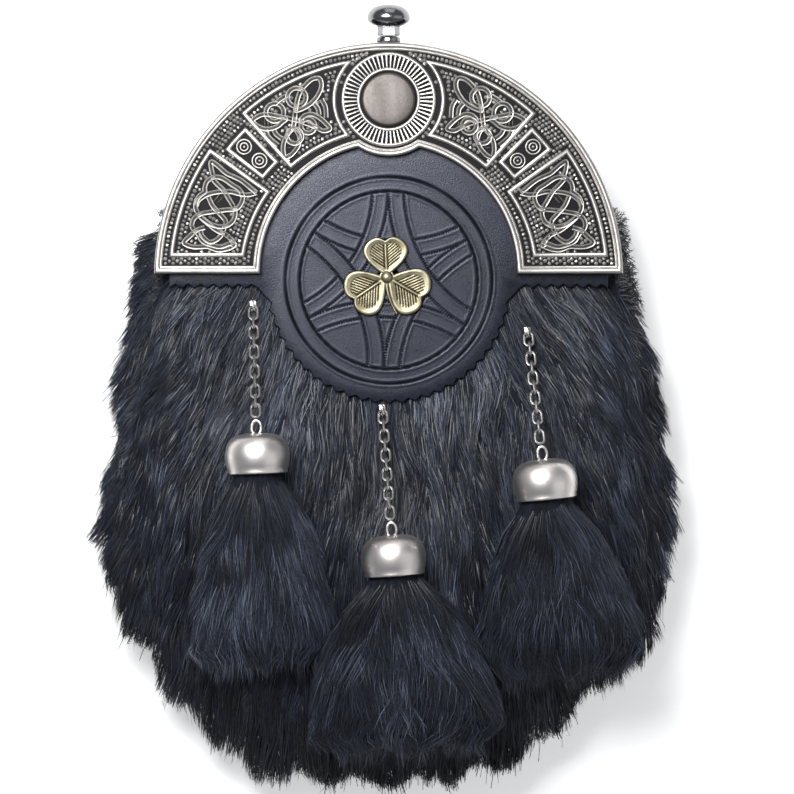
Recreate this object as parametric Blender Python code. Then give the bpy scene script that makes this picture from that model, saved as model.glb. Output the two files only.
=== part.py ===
"""Full dress sporran lying on its back: a hollow leather pouch with a fur pelt, an arched metal cantle,
an embossed leather flap, a shamrock badge and three chains with bells and fur tassels.

Sizes are in millimetres and become metres when a mesh is made. X is across, Y is towards the knob and
Z is out of the front. Places are worked out from the centre of the cantle's outer arc, and CENTRE_Y moves
everything so that the origin is below the middle of the whole object."""

import math

import bmesh
import bpy
from mathutils import Matrix, Vector

for old in list(bpy.data.objects):
    bpy.data.objects.remove(old, do_unlink=True)

MM = 0.001
GAP = 0.3  # clearance between pieces that touch

# Radii of the cantle's arch, which the pouch's top, the flap and the panels follow
CANTLE_R = 76.0
CANTLE_INNER_R = 41.5

# Pouch of leather
POUCH_INSET = 8.0  # the pouch's top lies this far inside the cantle's edge
POUCH_TOP_R = CANTLE_R - POUCH_INSET
POUCH_HALF_WIDTH = 81.0
POUCH_DROP = 148.0  # from the cantle's centre down to the seam at the bottom
LEATHER = 2.0
FLANGE = 4.0  # width of the sewn border
GUSSET = 22.0  # how far the front wall's edge curves in
POUCH_DEPTH = 24.7  # from the border up to the front wall
FRONT_BULGE = 3.0
BACK_GAP = 7.3  # height of the back panel above what the sporran lies on
BELLY_HALF_WIDTH = 58.0
BELLY_HALF_HEIGHT = 48.0
BELLY_DOWN = 86.0  # the belly's middle below the cantle's centre
POUCH_RAYS = 32
LOWER_SHARE = 0.35  # share of the rays, on each side, that end below the cantle's centre

# Mouth, rear flap and belt loops
MOUTH_WIDTH = 96.0
MOUTH_HEIGHT = 20.0
MOUTH_BELOW_TOP = 71.0  # the mouth's middle below the pouch's top
MOUTH_UP = POUCH_TOP_R - MOUTH_BELOW_TOP
REAR_FLAP_MARGIN = 8.0
STUD_R = 5.0
STUD_HEIGHT = 2.0
LOOP_WIDTH = 24.0
LOOP_SPACING = 48.0
LOOP_FOOT = 5.0
STRAP_HEIGHT = 24.0  # free height inside a belt loop
LOOP_BEND = 4.0
LOOP_ABOVE_FLAP = 2.0

# Fur pelt
HIDE = 1.6
HAIR_LOFT = 7.0  # height of the fur above the hide
HAIR_OVERHANG = 17.0  # how far the fur hangs past the pouch
LOCK_STEP = 1.5  # height of each tier of locks over the next
LOCK_REACH = 0.045  # how far a lock's tip runs past its sides, as a share of the ray
UNDER_FUR = 12.4  # lowest height of the fur at the pouch's side

# Leather front flap
FLAP_INSET = 4.7  # the flap's top lies this far inside the cantle's edge
FLAP_R = CANTLE_R - FLAP_INSET
FLAP_SHOULDER = 2.9  # the shoulders' edge below the cantle's centre
LOBE_R = 39.4
LOBE_DOWN = 1.0
LOBE_START = -9.0  # angle at which the lobe leaves the shoulder, in degrees
LOBE_NOTCH = 3.6  # distance from the lobe to the shoulder's first tooth
TOOTH_PITCH = 4.3
TOOTH_DEPTH = 1.3

# Cantle
CANTLE_INNER_UP = 1.6
CANTLE_FOOT = 1.0
CANTLE_PLATE = 2.5
CANTLE_LIP = 1.8  # wall of the lip that reaches back round the outer arc
CANTLE_DEPTH = 8.0
RIM_WIDTH = 2.6
RIM_HEIGHT = 1.2
FRAME_WIDTH = 1.2
FRAME_HEIGHT = 0.8
STRAND_WIDTH = 1.1
STRAND_HEIGHT = 0.8
BOSS_PLATE_R = 0.536 * (CANTLE_R - CANTLE_INNER_R)
BOSS_UP = CANTLE_R - BOSS_PLATE_R  # the boss's centre above the cantle's centre
BOSS_RING_R = 0.795 * BOSS_PLATE_R
BOSS_INNER_RING_R = 0.516 * BOSS_PLATE_R
BOSS_DISC_R = 0.47 * BOSS_PLATE_R
DISC_THICK = 1.1
BOSS_RAYS = 60
RAY_WIDTH = 0.6
RAY_HEIGHT = 0.55
BOSS_CLEAR_R = 0.957 * BOSS_PLATE_R  # the panel frames keep this far from the boss's centre
PANEL_INSET = 5.3  # the panels lie this far inside the cantle's outer edge
PANEL_LIFT = 6.4  # and this far outside its inner edge
PANEL_OUTER_R = CANTLE_R - PANEL_INSET
PANEL_INNER_R = CANTLE_INNER_R + PANEL_LIFT
BLOCK_INSET = 4.2  # the small panels lie this far inside the long ones
BLOCK_OUTER_R = PANEL_OUTER_R - BLOCK_INSET
BLOCK_INNER_R = PANEL_INNER_R + BLOCK_INSET
BLOCK_RING_R = 2.3
UPPER_RING_R = 3.4
LOWER_RING_R = 4.6
KNOT_BOW = 1.4  # how far the sides of a lower knot's loops are bowed
UPPER_PANEL_SIDE = 48.5  # angle of the upper panel's lower side, in degrees
BLOCK_SIDES = (38.4, 45.7)
LOWER_PANEL_SIDE = 35.2
LOWER_PANEL_FOOT = 7.1  # the lower panel's foot above the cantle's centre

# Knob
KNOB_R = 7.05
KNOB_HEAD = 7.0
NECK_ACROSS = 6.3
NECK_LENGTH = 3.1
COLLAR_R = 3.9
COLLAR_LENGTH = 1.8

# Shamrock badge
LEAF_LENGTH = 13.6
LEAF_WIDTH = 14.0
LEAF_THICK = 1.3
LEAF_POINTS = 20
STEM_LENGTH = 11.5
STEM_WIDTH = 0.9
BEAD_R = 1.8

# Chains, bells and tassels
WIRE = 0.88
LINK_LENGTH = 5.4
LINK_WIDTH = 3.9
LINKS = 11
LINK_SIDES = 10
WIRE_SIDES = 4
CHAIN_START = 1.9  # height of the first link's wire above the hide
BELL_R = 10.5
BELL_LENGTH = 13.0
BELL_WALL = 1.4
BELL_BED = 3.2  # thickness of the fur pressed under a bell
TASSEL_LENGTH = 63.0  # below the bell
TASSEL_WIDTH = 58.0
TASSEL_THICK = 6.5  # half of a tassel's thickness
TASSEL_DROOP = 9.0  # how far a tassel's tip sinks past the level of its bell's bed
CHAIN_BED = 8.0  # the fur lies flat this far to each side of a chain
TASSEL_BED = 4.0
FLAP_BED = 3.0

# Each tassel hangs from its staple, which lies round the flap's lobe. The heading is from straight down.
TASSELS = (
    # name, share of the lobe's radius, angle round the lobe, heading, share of length, share of width
    ("left", 1.143, 192.3, 2.0, 1.10, 0.76),
    ("centre", 1.103, 267.5, 4.2, 1.00, 1.00),
    ("right", 1.241, 338.2, 5.8, 1.00, 0.86),
)

# Half of the pouch's lower outline, from the bottom to the side, and the fur's overhang there.
OUTLINE = (
    # share of the half width, share of the drop, share of the overhang
    (0.00, 1.000, 1.00),
    (0.28, 0.985, 1.00),
    (0.53, 0.925, 0.95),
    (0.75, 0.805, 0.86),
    (0.92, 0.680, 0.96),
    (0.995, 0.54, 0.90),
    (0.995, 0.42, 0.86),
    (0.95, 0.290, 0.86),
    (0.895, 0.150, 0.80),
    (0.8395, 0.000, 0.70),
)

# The fur's section along a ray, from under the flap to the tips.
FUR_SECTION = (
    # share of the reach, share of the loft, share of the pouch depth that it falls
    (0.00, 0.03, 0.00),
    (0.20, 0.62, 0.00),
    (0.38, 0.92, 0.00),
    (0.56, 1.00, 0.02),
    (0.72, 1.00, 0.10),
    (0.86, 0.90, 0.30),
    (1.00, 0.30, 0.70),
)

TASSEL_SECTION = (
    # share of the length below the bell, share of the half width, share of the thickness
    (0.14, 0.56, 1.15),
    (0.36, 0.78, 1.05),
    (0.60, 0.92, 0.95),
    (0.84, 1.00, 0.75),
    (1.00, 0.90, 0.40),
)
TASSEL_POINTS = 16
LOCK_VALLEY = 0.9  # depth of the groove between two locks, as a share of the section
TIP_NOTCH = 0.9  # where the grooves end, as a share of the length
TIP_ROUND = 0.1  # how much shorter the locks at the sides are, as a share of the length

STUD_SECTION = (
    # share of the height, share of the radius
    (0.00, 1.00),
    (0.40, 1.00),
    (0.85, 0.72),
    (1.00, 0.35),
)

BELL_SECTION = (
    # share of the length from the top, share of the radius
    (0.00, 0.42),
    (0.08, 0.76),
    (0.25, 0.94),
    (0.52, 1.00),
    (0.84, 0.96),
    (1.00, 0.86),
)

DISC_SECTION = (
    # share of the height, share of the radius
    (0.00, 1.00),
    (0.45, 1.00),
    (0.82, 0.93),
    (1.00, 0.50),
)

KNOB_SECTION = (
    # share of the head's height, share of its radius
    (0.00, 0.56),
    (0.16, 0.90),
    (0.38, 1.00),
    (0.62, 0.97),
    (0.86, 0.70),
    (1.00, 0.40),
)

# Where the leaves point, in degrees, and their size.
LEAVES = (
    # direction, share of the leaf size
    (92.6, 0.94),
    (215.0, 1.04),
    (333.0, 1.08),
)

# The four pointed petals of an upper knot on the right, seen from the knot's middle.
PETALS = (
    # direction in degrees, share of the panel's depth
    (124.7, 0.71),
    (-3.4, 0.566),
    (-77.0, 0.544),
    (197.6, 0.518),
)
PETAL_WIDTH = 6.4

# Places on the right half of the arch.
KNOT_PLACES = {
    # name: share of the way from the inner panel line to the outer one, angle in degrees
    "upper middle": (0.496, 60.6),
    "block inner": (0.37, 42.0),
    "block outer": (0.66, 42.0),
    "lower top": (0.84, 31.6),
    "lower left": (0.25, 31.2),
    "lower middle": (0.59, 20.5),
    "lower right": (0.93, 22.6),
    "foot left": (0.22, 11.6),
    "foot right": (0.82, 9.2),
}

# Heights that follow from the sizes
BACK_TOP = BACK_GAP + LEATHER
FLANGE_TOP = BACK_TOP + GAP + LEATHER
FRONT_Z = BACK_TOP + POUCH_DEPTH
HIDE_Z = FRONT_Z + GAP + HIDE
FLAP_Z = HIDE_Z + GAP
FLAP_TOP = FLAP_Z + LEATHER
CANTLE_Z = FLAP_TOP + GAP
GROUND_Z = CANTLE_Z + CANTLE_PLATE
LIP_Z = GROUND_Z + RIM_HEIGHT - CANTLE_DEPTH
KNOB_Z = GROUND_Z + RIM_HEIGHT - CANTLE_DEPTH / 2
KNOB_TOP = CANTLE_R + GAP + COLLAR_LENGTH + GAP + NECK_LENGTH + KNOB_HEAD
PITCH = LINK_LENGTH - 2 * WIRE - GAP
CHAIN_Z = HIDE_Z + CHAIN_START
CHAIN_LENGTH = PITCH * LINKS + LINK_LENGTH - 3 * WIRE - 2 * GAP  # from the staple to the bell's eye
CENTRE_Y = (POUCH_DROP + HAIR_OVERHANG - KNOB_TOP) / 2


def material(name, colour, roughness, metallic):
    finish = bpy.data.materials.new(name)
    finish.use_nodes = True
    shader = finish.node_tree.nodes["Principled BSDF"]
    shader.inputs["Base Color"].default_value = (*colour, 1.0)
    shader.inputs["Roughness"].default_value = roughness
    shader.inputs["Metallic"].default_value = metallic
    return finish


BLACK_LEATHER = material("black_leather", (0.016, 0.018, 0.026), 0.45, 0.0)
NAVY_FUR = material("navy_fur", (0.012, 0.017, 0.033), 0.7, 0.0)
ANTIQUE_NICKEL = material("antique_nickel", (0.36, 0.34, 0.31), 0.38, 1.0)
SATIN_NICKEL = material("satin_nickel", (0.62, 0.60, 0.57), 0.3, 1.0)
DARK_NICKEL = material("dark_nickel", (0.22, 0.22, 0.23), 0.2, 1.0)
PALE_BRASS = material("pale_brass", (0.66, 0.58, 0.34), 0.35, 1.0)


def finish_object(name, bm, finish, smooth=False):
    """Makes an object of a mesh in millimetres, moved so that the origin is in the middle."""
    bmesh.ops.remove_doubles(bm, verts=bm.verts, dist=1e-4)
    bmesh.ops.recalc_face_normals(bm, faces=bm.faces)
    if bm.calc_volume(signed=True) < 0:
        bmesh.ops.reverse_faces(bm, faces=bm.faces)
    bmesh.ops.transform(bm, matrix=Matrix.Translation((0, CENTRE_Y, 0)), verts=bm.verts)
    bmesh.ops.scale(bm, vec=(MM, MM, MM), verts=bm.verts)
    mesh = bpy.data.meshes.new(name)
    bm.to_mesh(mesh)
    bm.free()
    mesh.materials.append(finish)
    if smooth:
        mesh.shade_smooth()
        mesh.set_sharp_from_angle(angle=math.radians(40))
    obj = bpy.data.objects.new(name, mesh)
    bpy.context.scene.collection.objects.link(obj)
    return obj


def boolean(obj, other, operation, crossing=False):
    """Joins a helper to an object, or cuts it out of it, and keeps the helper out of the render.
    Crossing says that the helper holds shapes that cross each other."""
    other.hide_render = True
    other.display_type = "WIRE"
    change = obj.modifiers.new(other.name, "BOOLEAN")
    change.operation = operation
    change.object = other
    change.use_self = crossing


def polar(radius, degrees):
    return Vector((radius * math.cos(math.radians(degrees)), radius * math.sin(math.radians(degrees))))


def arc(centre, radius, start, end, steps):
    """Points of an arc from one angle in degrees to another, both ends included."""
    turn = (end - start) / steps
    return [Vector(centre) + polar(radius, start + turn * i) for i in range(steps + 1)]


def smooth_step(x):
    x = min(max(x, 0.0), 1.0)
    return x * x * (3 - 2 * x)


def lerp(a, b, t):
    return a + (b - a) * t


def table_at(rows, x, column):
    """A table's column at x, where x runs along its first column, in straight runs."""
    for low, high in zip(rows, rows[1:]):
        if x <= high[0]:
            return lerp(low[column], high[column], (x - low[0]) / (high[0] - low[0]))
    return rows[-1][column]


def curve_at(rows, t, column):
    """A smooth curve through a table's rows, with t from 0 at the first row to 1 at the last."""
    place = min(max(t, 0.0), 1.0) * (len(rows) - 1)
    i = min(int(place), len(rows) - 2)
    f = place - i
    before, low = rows[max(i - 1, 0)][column], rows[i][column]
    high, after = rows[i + 1][column], rows[min(i + 2, len(rows) - 1)][column]
    square = 2 * before - 5 * low + 4 * high - after
    cube = 3 * (low - high) + after - before
    return low + 0.5 * f * (high - before + f * (square + f * cube))


def add_grid(bm, rings, closed=True):
    """Faces between rings of points, each ring as long as the next."""
    rows = [[bm.verts.new(point) for point in ring] for ring in rings]
    count = len(rows[0])
    for low, high in zip(rows, rows[1:]):
        for i in range(count if closed else count - 1):
            j = (i + 1) % count
            bm.faces.new((low[i], low[j], high[j], high[i]))
    return rows


def add_cap(bm, ring, middle):
    """Triangles from a ring to a point in its middle."""
    top = bm.verts.new(middle)
    for i, vert in enumerate(ring):
        bm.faces.new((vert, ring[(i + 1) % len(ring)], top))


def add_prism(bm, points, low, high):
    """A flat plate with an outline of points, between two heights."""
    bottom = [bm.verts.new((p[0], p[1], low)) for p in points]
    top = [bm.verts.new((p[0], p[1], high)) for p in points]
    bm.faces.new(bottom)
    bm.faces.new(top)
    for i in range(len(points)):
        j = (i + 1) % len(points)
        bm.faces.new((bottom[i], bottom[j], top[j], top[i]))


def add_ridge(bm, path, profile, closed):
    """A raised line along a flat path. The profile holds points as (across, height)."""
    count = len(path)
    rings = []
    for i, point in enumerate(path):
        before = path[i - 1] if i or closed else point
        after = path[(i + 1) % count] if i < count - 1 or closed else point
        into, out = (point - before), (after - point)
        into = (into if into.length > 1e-6 else out).normalized()
        out = (out if out.length > 1e-6 else into).normalized()
        side = Vector((-(into.y + out.y), into.x + out.x))
        side = side.normalized() if side.length > 1e-6 else Vector((-into.y, into.x))
        stretch = min(1 / max(side.dot(Vector((-into.y, into.x))), 0.35), 2.2)
        rings.append([(*(point + side * across * stretch), height) for across, height in profile])
    rows = [[bm.verts.new(point) for point in ring] for ring in rings]
    sides = len(profile)
    for i in range(count if closed else count - 1):
        for k in range(sides):
            m = (k + 1) % sides
            j = (i + 1) % count
            bm.faces.new((rows[i][k], rows[i][m], rows[j][m], rows[j][k]))
    if not closed:
        bm.faces.new(rows[0])
        bm.faces.new(rows[-1])


def flat_ridge(width, base, top):
    return ((-width / 2, base), (-width / 3, top), (width / 3, top), (width / 2, base))


def sharp_ridge(width, base, top):
    return ((-width / 2, base), (0.0, top), (width / 2, base))


def add_lathe(bm, profile, steps, frame, close_first=True, close_last=True):
    """A turned solid. The profile holds points as (along, radius), and the frame's Z is the axis."""
    rings = []
    for along, radius in profile:
        turn = [polar(radius, 360 * i / steps) for i in range(steps)]
        rings.append([frame @ Vector((p.x, p.y, along)) for p in turn])
    rows = add_grid(bm, rings)
    if close_first:
        add_cap(bm, rows[0], frame @ Vector((0, 0, profile[0][0])))
    if close_last:
        add_cap(bm, rows[-1], frame @ Vector((0, 0, profile[-1][0])))


def frame_at(place, along, up=(0, 0, 1)):
    """A frame at a place whose Z axis is the given direction, and whose X axis is at right angles to up."""
    z = Vector(along).normalized()
    x = Vector(up).cross(z).normalized()
    y = z.cross(x)
    turn = Matrix((x, y, z)).transposed().to_4x4()
    return Matrix.Translation(place) @ turn


# The pouch's outline and its section


def half_outline(t, column):
    return curve_at(OUTLINE, t, column)


def outline_point(share):
    """The pouch's outline. The share runs from 0 at the bottom, by the right side, once round."""
    side = 1 if share <= 0.5 else -1
    t = share if share <= 0.5 else 1 - share
    if t <= LOWER_SHARE:
        join = POUCH_TOP_R - OUTLINE[-1][0] * POUCH_HALF_WIDTH
        across = half_outline(t / LOWER_SHARE, 0) * POUCH_HALF_WIDTH + join * (t / LOWER_SHARE) ** 2
        down = half_outline(t / LOWER_SHARE, 1) * POUCH_DROP
        return Vector((side * across, -down))
    turn = 90 * (t - LOWER_SHARE) / (0.5 - LOWER_SHARE)
    top = polar(POUCH_TOP_R, turn)
    return Vector((side * top.x, top.y))


def overhang_at(share):
    """How far the fur hangs past the outline at this ray, and how hairy the ray is."""
    t = min(share, 1 - share)
    hairy = 1 - smooth_step((t - LOWER_SHARE - 0.02) / 0.03)
    return HAIR_OVERHANG * half_outline(min(t / LOWER_SHARE, 1), 2), hairy


def bulge_at(x, y):
    """How much the front wall swells out, below the flap."""
    far = math.hypot(x / (0.62 * POUCH_HALF_WIDTH), (y + 0.66 * POUCH_DROP) / (0.33 * POUCH_DROP))
    return FRONT_BULGE * smooth_step(1 - far)


def belly_at(x, y):
    """How much the back panel drops to the surface it lies on: all of the gap over the belly's flat."""
    far = math.hypot(x / BELLY_HALF_WIDTH, (y + BELLY_DOWN) / BELLY_HALF_HEIGHT)
    return BACK_GAP * smooth_step((1 - far) / 0.45)


def shell_point(edge, turn, out):
    """A point of the gusset's curve: turn is 0 at the border and 90 on the front wall, out is outwards."""
    length = edge.length
    a = math.radians(turn)
    inset = FLANGE + GUSSET * (1 - math.cos(a)) - out * math.cos(a)
    rise = (FRONT_Z - FLANGE_TOP) * math.sin(a) + out * math.sin(a)
    flat = edge * ((length - inset) / length)
    return Vector((flat.x, flat.y, FLANGE_TOP + rise + (bulge_at(*flat) if turn == 90 else 0)))


def front_point(edge, share, out):
    """A point of the front wall: share is 1 at the gusset's curve and 0 in the middle."""
    rim = shell_point(edge, 90, out)
    x, y = rim.x * share, rim.y * share
    return Vector((x, y, FRONT_Z + out + bulge_at(x, y)))


GUSSET_TURNS = (0, 28, 58, 90)
FRONT_SHARES = (0.74, 0.40)


def shell_rings(edges, out, first=None):
    """Rings over the gusset and the front wall, from the border inwards."""
    rings = [first] if first else []
    rings += [[shell_point(edge, turn, out) for edge in edges] for turn in GUSSET_TURNS]
    rings += [[front_point(edge, share, out) for edge in edges] for share in FRONT_SHARES]
    return rings


def ring_of(edges, inset, height):
    flat = [edge * ((edge.length - inset) / edge.length) for edge in edges]
    return [Vector((p.x, p.y, height)) for p in flat]


def build_pouch_front():
    edges = [outline_point(i / POUCH_RAYS) for i in range(POUCH_RAYS)]
    low = FLANGE_TOP - LEATHER
    bm = bmesh.new()
    outer = shell_rings(edges, 0, ring_of(edges, 0, FLANGE_TOP))
    inner = shell_rings(edges, -LEATHER, ring_of(edges, FLANGE + LEATHER, low))
    outer_rows = add_grid(bm, [ring_of(edges, FLANGE + LEATHER, low), ring_of(edges, 0, low)] + outer)
    inner_rows = add_grid(bm, inner)
    add_cap(bm, outer_rows[-1], (0, 0, FRONT_Z + bulge_at(0, 0)))
    add_cap(bm, inner_rows[-1], (0, 0, FRONT_Z - LEATHER + bulge_at(0, 0)))
    finish_object("pouch_front", bm, BLACK_LEATHER, smooth=True)


def build_back_panel():
    edges = [outline_point(i / POUCH_RAYS) for i in range(POUCH_RAYS)]
    bm = bmesh.new()
    middle = Vector((0, -BELLY_DOWN))
    for height in (BACK_TOP, BACK_GAP):
        rings = [ring_of(edges, 0, height)]
        for part, share in ((0.5, 1.0), (0.0, 1.0), (0.0, 0.78), (0.0, 0.55)):
            ring = []
            for edge in edges:
                way = edge - middle
                belly = way / math.hypot(way.x / BELLY_HALF_WIDTH, way.y / BELLY_HALF_HEIGHT)
                flat = middle + belly.lerp(way, part) * share
                ring.append(Vector((flat.x, flat.y, height - belly_at(*flat))))
            rings.append(ring)
        rows = add_grid(bm, rings)
        add_cap(bm, rows[-1], (*middle, height - BACK_GAP))
    add_grid(bm, [ring_of(edges, 0, BACK_GAP), ring_of(edges, 0, BACK_TOP)])
    panel = finish_object("back_panel", bm, BLACK_LEATHER, smooth=True)
    cutter = bmesh.new()
    half, high = MOUTH_WIDTH / 2, MOUTH_HEIGHT / 2
    end = arc((half - high, MOUTH_UP), high, -90, 90, 6)
    end += arc((high - half, MOUTH_UP), high, 90, 270, 6)
    add_prism(cutter, end, -1, BACK_TOP + LEATHER)
    boolean(panel, finish_object("mouth_cutter", cutter, BLACK_LEATHER), "DIFFERENCE")


def build_rear_flap():
    bm = bmesh.new()
    half = MOUTH_WIDTH / 2 + REAR_FLAP_MARGIN
    top = MOUTH_UP + MOUTH_HEIGHT / 2 + REAR_FLAP_MARGIN / 2
    low = MOUTH_UP - MOUTH_HEIGHT / 2 - REAR_FLAP_MARGIN
    tab_r = 2.2 * STUD_R
    corner = REAR_FLAP_MARGIN
    points = arc((corner - half, low + corner), corner, 180, 270, 3)
    points += arc((0, low), tab_r, 180, 360, 8)
    points += arc((half - corner, low + corner), corner, 270, 360, 3)
    points += [Vector((half, top)), Vector((-half, top))]
    height = BACK_GAP - GAP
    add_prism(bm, points, height - LEATHER, height)
    finish_object("rear_flap", bm, BLACK_LEATHER)
    stud = bmesh.new()
    seat = height - LEATHER - GAP
    profile = [(STUD_HEIGHT * high, STUD_R * wide) for high, wide in STUD_SECTION]
    add_lathe(stud, profile, 14, frame_at((0, low - 0.45 * tab_r, seat), (0, 0, -1), up=(0, 1, 0)))
    finish_object("flap_stud", stud, SATIN_NICKEL, smooth=True)


def build_belt_loops():
    """Strips whose feet lie on the back panel and whose middles stand off it by the strap's room."""
    foot_z = BACK_GAP - GAP
    knee_z = foot_z - 0.3 * (foot_z - LEATHER)
    start = MOUTH_UP + MOUTH_HEIGHT / 2 + REAR_FLAP_MARGIN / 2 + LOOP_ABOVE_FLAP
    far = LOOP_FOOT + LOOP_BEND + STRAP_HEIGHT
    run = (
        # along, height of the face towards the pouch, how far the other face is shifted along
        (0, foot_z, 0),
        (LOOP_FOOT, foot_z, 0),
        (LOOP_FOOT + 0.4 * LOOP_BEND, knee_z, -0.35 * LEATHER),
        (LOOP_FOOT + LOOP_BEND, LEATHER, -0.5 * LEATHER),
        (far, LEATHER, 0.5 * LEATHER),
        (far + 0.6 * LOOP_BEND, knee_z, 0.35 * LEATHER),
        (far + LOOP_BEND, foot_z, 0),
        (far + LOOP_BEND + LOOP_FOOT, foot_z, 0),
    )
    for name, side in (("left", -1), ("right", 1)):
        bm = bmesh.new()
        low_x = side * LOOP_SPACING / 2 - LOOP_WIDTH / 2
        rings = []
        for along, height, shift in run:
            near, away = start + along, start + along + shift
            ring = [(low_x, near, height), (low_x + LOOP_WIDTH, near, height)]
            ring += [(low_x + LOOP_WIDTH, away, height - LEATHER), (low_x, away, height - LEATHER)]
            rings.append(ring)
        rows = add_grid(bm, rings)
        bm.faces.new(rows[0])
        bm.faces.new(rows[-1])
        finish_object("belt_loop_" + name, bm, BLACK_LEATHER)


# Fur


def segment_distance(point, start, end):
    """How far a flat point is from a straight run, and how far along that run."""
    run = end - start
    along = min(max((point - start).dot(run) / run.length_squared, 0), 1)
    return (point - start - run * along).length, along


def tassel_layout(row):
    """The places of a tassel's staple, bell eye, bell top and tip, flat, and its bell's height."""
    way = polar(1, row[3] - 90)
    staple = Vector((0, -LOBE_DOWN)) + polar(row[1] * LOBE_R, row[2])
    under_bell = staple + way * (CHAIN_LENGTH + BELL_LENGTH / 2)
    bell_z = HIDE_Z + BELL_BED + BELL_R + GAP + bulge_at(*under_bell)
    flat = math.sqrt(CHAIN_LENGTH**2 - (bell_z - CHAIN_Z) ** 2)
    eye = staple + way * (flat + LINK_LENGTH / 2 - 1.5 * WIRE)
    bell = eye + way * (LINK_LENGTH / 2 - 1.2 * WIRE)
    tip = bell + way * (BELL_LENGTH + row[4] * TASSEL_LENGTH)
    return way, staple, eye, bell, tip, bell_z


def droop_at(share):
    """How far a tassel has sunk at this share of its length."""
    return TASSEL_DROOP * max(share - 0.25, 0) ** 2


def ceiling_at(x, y):
    """The greatest height of the fur, which lies pressed under the flap, the bells and the tassels."""
    place = Vector((x, y))
    past_flap = -FLAP_SHOULDER - TOOTH_DEPTH - FLAP_BED - y
    past_flap = min(past_flap, place.length - LOBE_R - LOBE_DOWN - TOOTH_DEPTH)
    top = HIDE_Z + 0.1 * GAP + 0.55 * max(past_flap, 0)
    if y > -FLAP_SHOULDER and place.length > POUCH_TOP_R:
        top = min(top, LIP_Z - 3 * GAP)
    for row in TASSELS:
        _, staple, eye, bell, tip, bell_z = tassel_layout(row)
        length, width = row[4] * TASSEL_LENGTH, row[5] * TASSEL_WIDTH
        off, along = segment_distance(place, staple, eye)
        chain = lerp(CHAIN_Z, bell_z, along) - 0.5 * LINK_WIDTH - 2 * GAP
        bed = min(chain, HIDE_Z + 0.1 * GAP + 1.3 * HAIR_LOFT * max(along - 0.42, 0))
        top = min(top, bed + 0.7 * max(off - CHAIN_BED, 0))
        off, along = segment_distance(place, bell, tip)
        share = max((along * (BELL_LENGTH + length) - BELL_LENGTH) / length, 0)
        half = max(width / 2 * table_at(TASSEL_SECTION, share, 1), BELL_R)
        bed = bell_z - BELL_R - 3 * GAP - droop_at(share)
        top = min(top, bed + 0.5 * max(off - half - TASSEL_BED, 0))
    return top


def build_fur_pelt():
    """Hide over the front and gusset. Each pair of rays carries one lock in every tier."""
    rays = 2 * POUCH_RAYS
    coarse = [outline_point(i / POUCH_RAYS) for i in range(POUCH_RAYS)]
    edges = []
    for i in range(rays):
        low, high = coarse[i // 2], coarse[(i // 2 + 1) % POUCH_RAYS]
        edges.append(low if i % 2 == 0 else (low + high) / 2)
    start_r = LOBE_R + LOBE_DOWN + TOOTH_DEPTH
    tiers = [row[0] for row in FUR_SECTION]
    rings = []
    for k, tier in enumerate(tiers):
        steps = ("top",) if k in (0, len(tiers) - 1) else ("top", "foot")
        for step in steps:
            ring = []
            for i, edge in enumerate(edges):
                overhang, hairy = overhang_at(i / rays)
                lock_ray = (i + k) % 2 == 0
                reach = tier + (LOCK_REACH if lock_ray else -LOCK_REACH) * (0 < k)
                reach = min(reach, 1.0) + (0.012 if step == "foot" else 0)
                way = edge.normalized()
                radius = lerp(start_r, edge.length + overhang, reach)
                flat = way * radius
                loft, fall = table_at(FUR_SECTION, reach, 1), table_at(FUR_SECTION, reach, 2)
                height = HIDE_Z + bulge_at(*flat) + HAIR_LOFT * loft - POUCH_DEPTH * fall
                if step == "foot":
                    height -= LOCK_STEP
                elif not lock_ray:
                    height -= 0.4 * LOCK_STEP
                height = min(height, ceiling_at(*flat) - (0.6 * LOCK_STEP if step == "foot" else 0))
                if reach < 0.5:
                    height = max(height, min(HIDE_Z + bulge_at(*flat), height + LOCK_STEP))
                share = (k + (0.5 if step == "foot" else 0)) / (len(tiers) - 1)
                bare = bare_point(edge, share)
                ring.append(bare.lerp(Vector((flat.x, flat.y, height)), hairy))
            rings.append(ring)
    under = []
    for i, edge in enumerate(edges):
        overhang, hairy = overhang_at(i / rays)
        bare = shell_point(edge, GUSSET_TURNS[0], GAP + HIDE)
        way = edge.normalized()
        out = way * (edge.length + 0.35 * overhang)
        hairy_point = Vector((out.x, out.y, UNDER_FUR))
        bare.z = FLANGE_TOP + GAP
        under.append(bare.lerp(hairy_point, hairy))
    inner = [ring_of(edges, FLANGE - GAP, FLANGE_TOP + GAP)]
    inner += [[shell_point(edge, turn, GAP) for edge in edges] for turn in GUSSET_TURNS[1:]]
    inner += [[front_point(edge, share, GAP) for edge in edges] for share in FRONT_SHARES]
    bm = bmesh.new()
    rows = add_grid(bm, rings + [under] + inner)
    add_cap(bm, rows[0], (0, 0, HIDE_Z))
    add_cap(bm, rows[-1], (0, 0, FRONT_Z + GAP))
    finish_object("fur_pelt", bm, NAVY_FUR, smooth=True)


def bare_point(edge, share):
    """A point of the bare hide above the fur: share is 0 inwards on the front wall and 1 at the border."""
    if share < 0.4:
        return front_point(edge, lerp(0.62, 1.0, share / 0.4), GAP + HIDE)
    return shell_point(edge, lerp(90, 6, (share - 0.4) / 0.6), GAP + HIDE)


# Front flap


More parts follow.
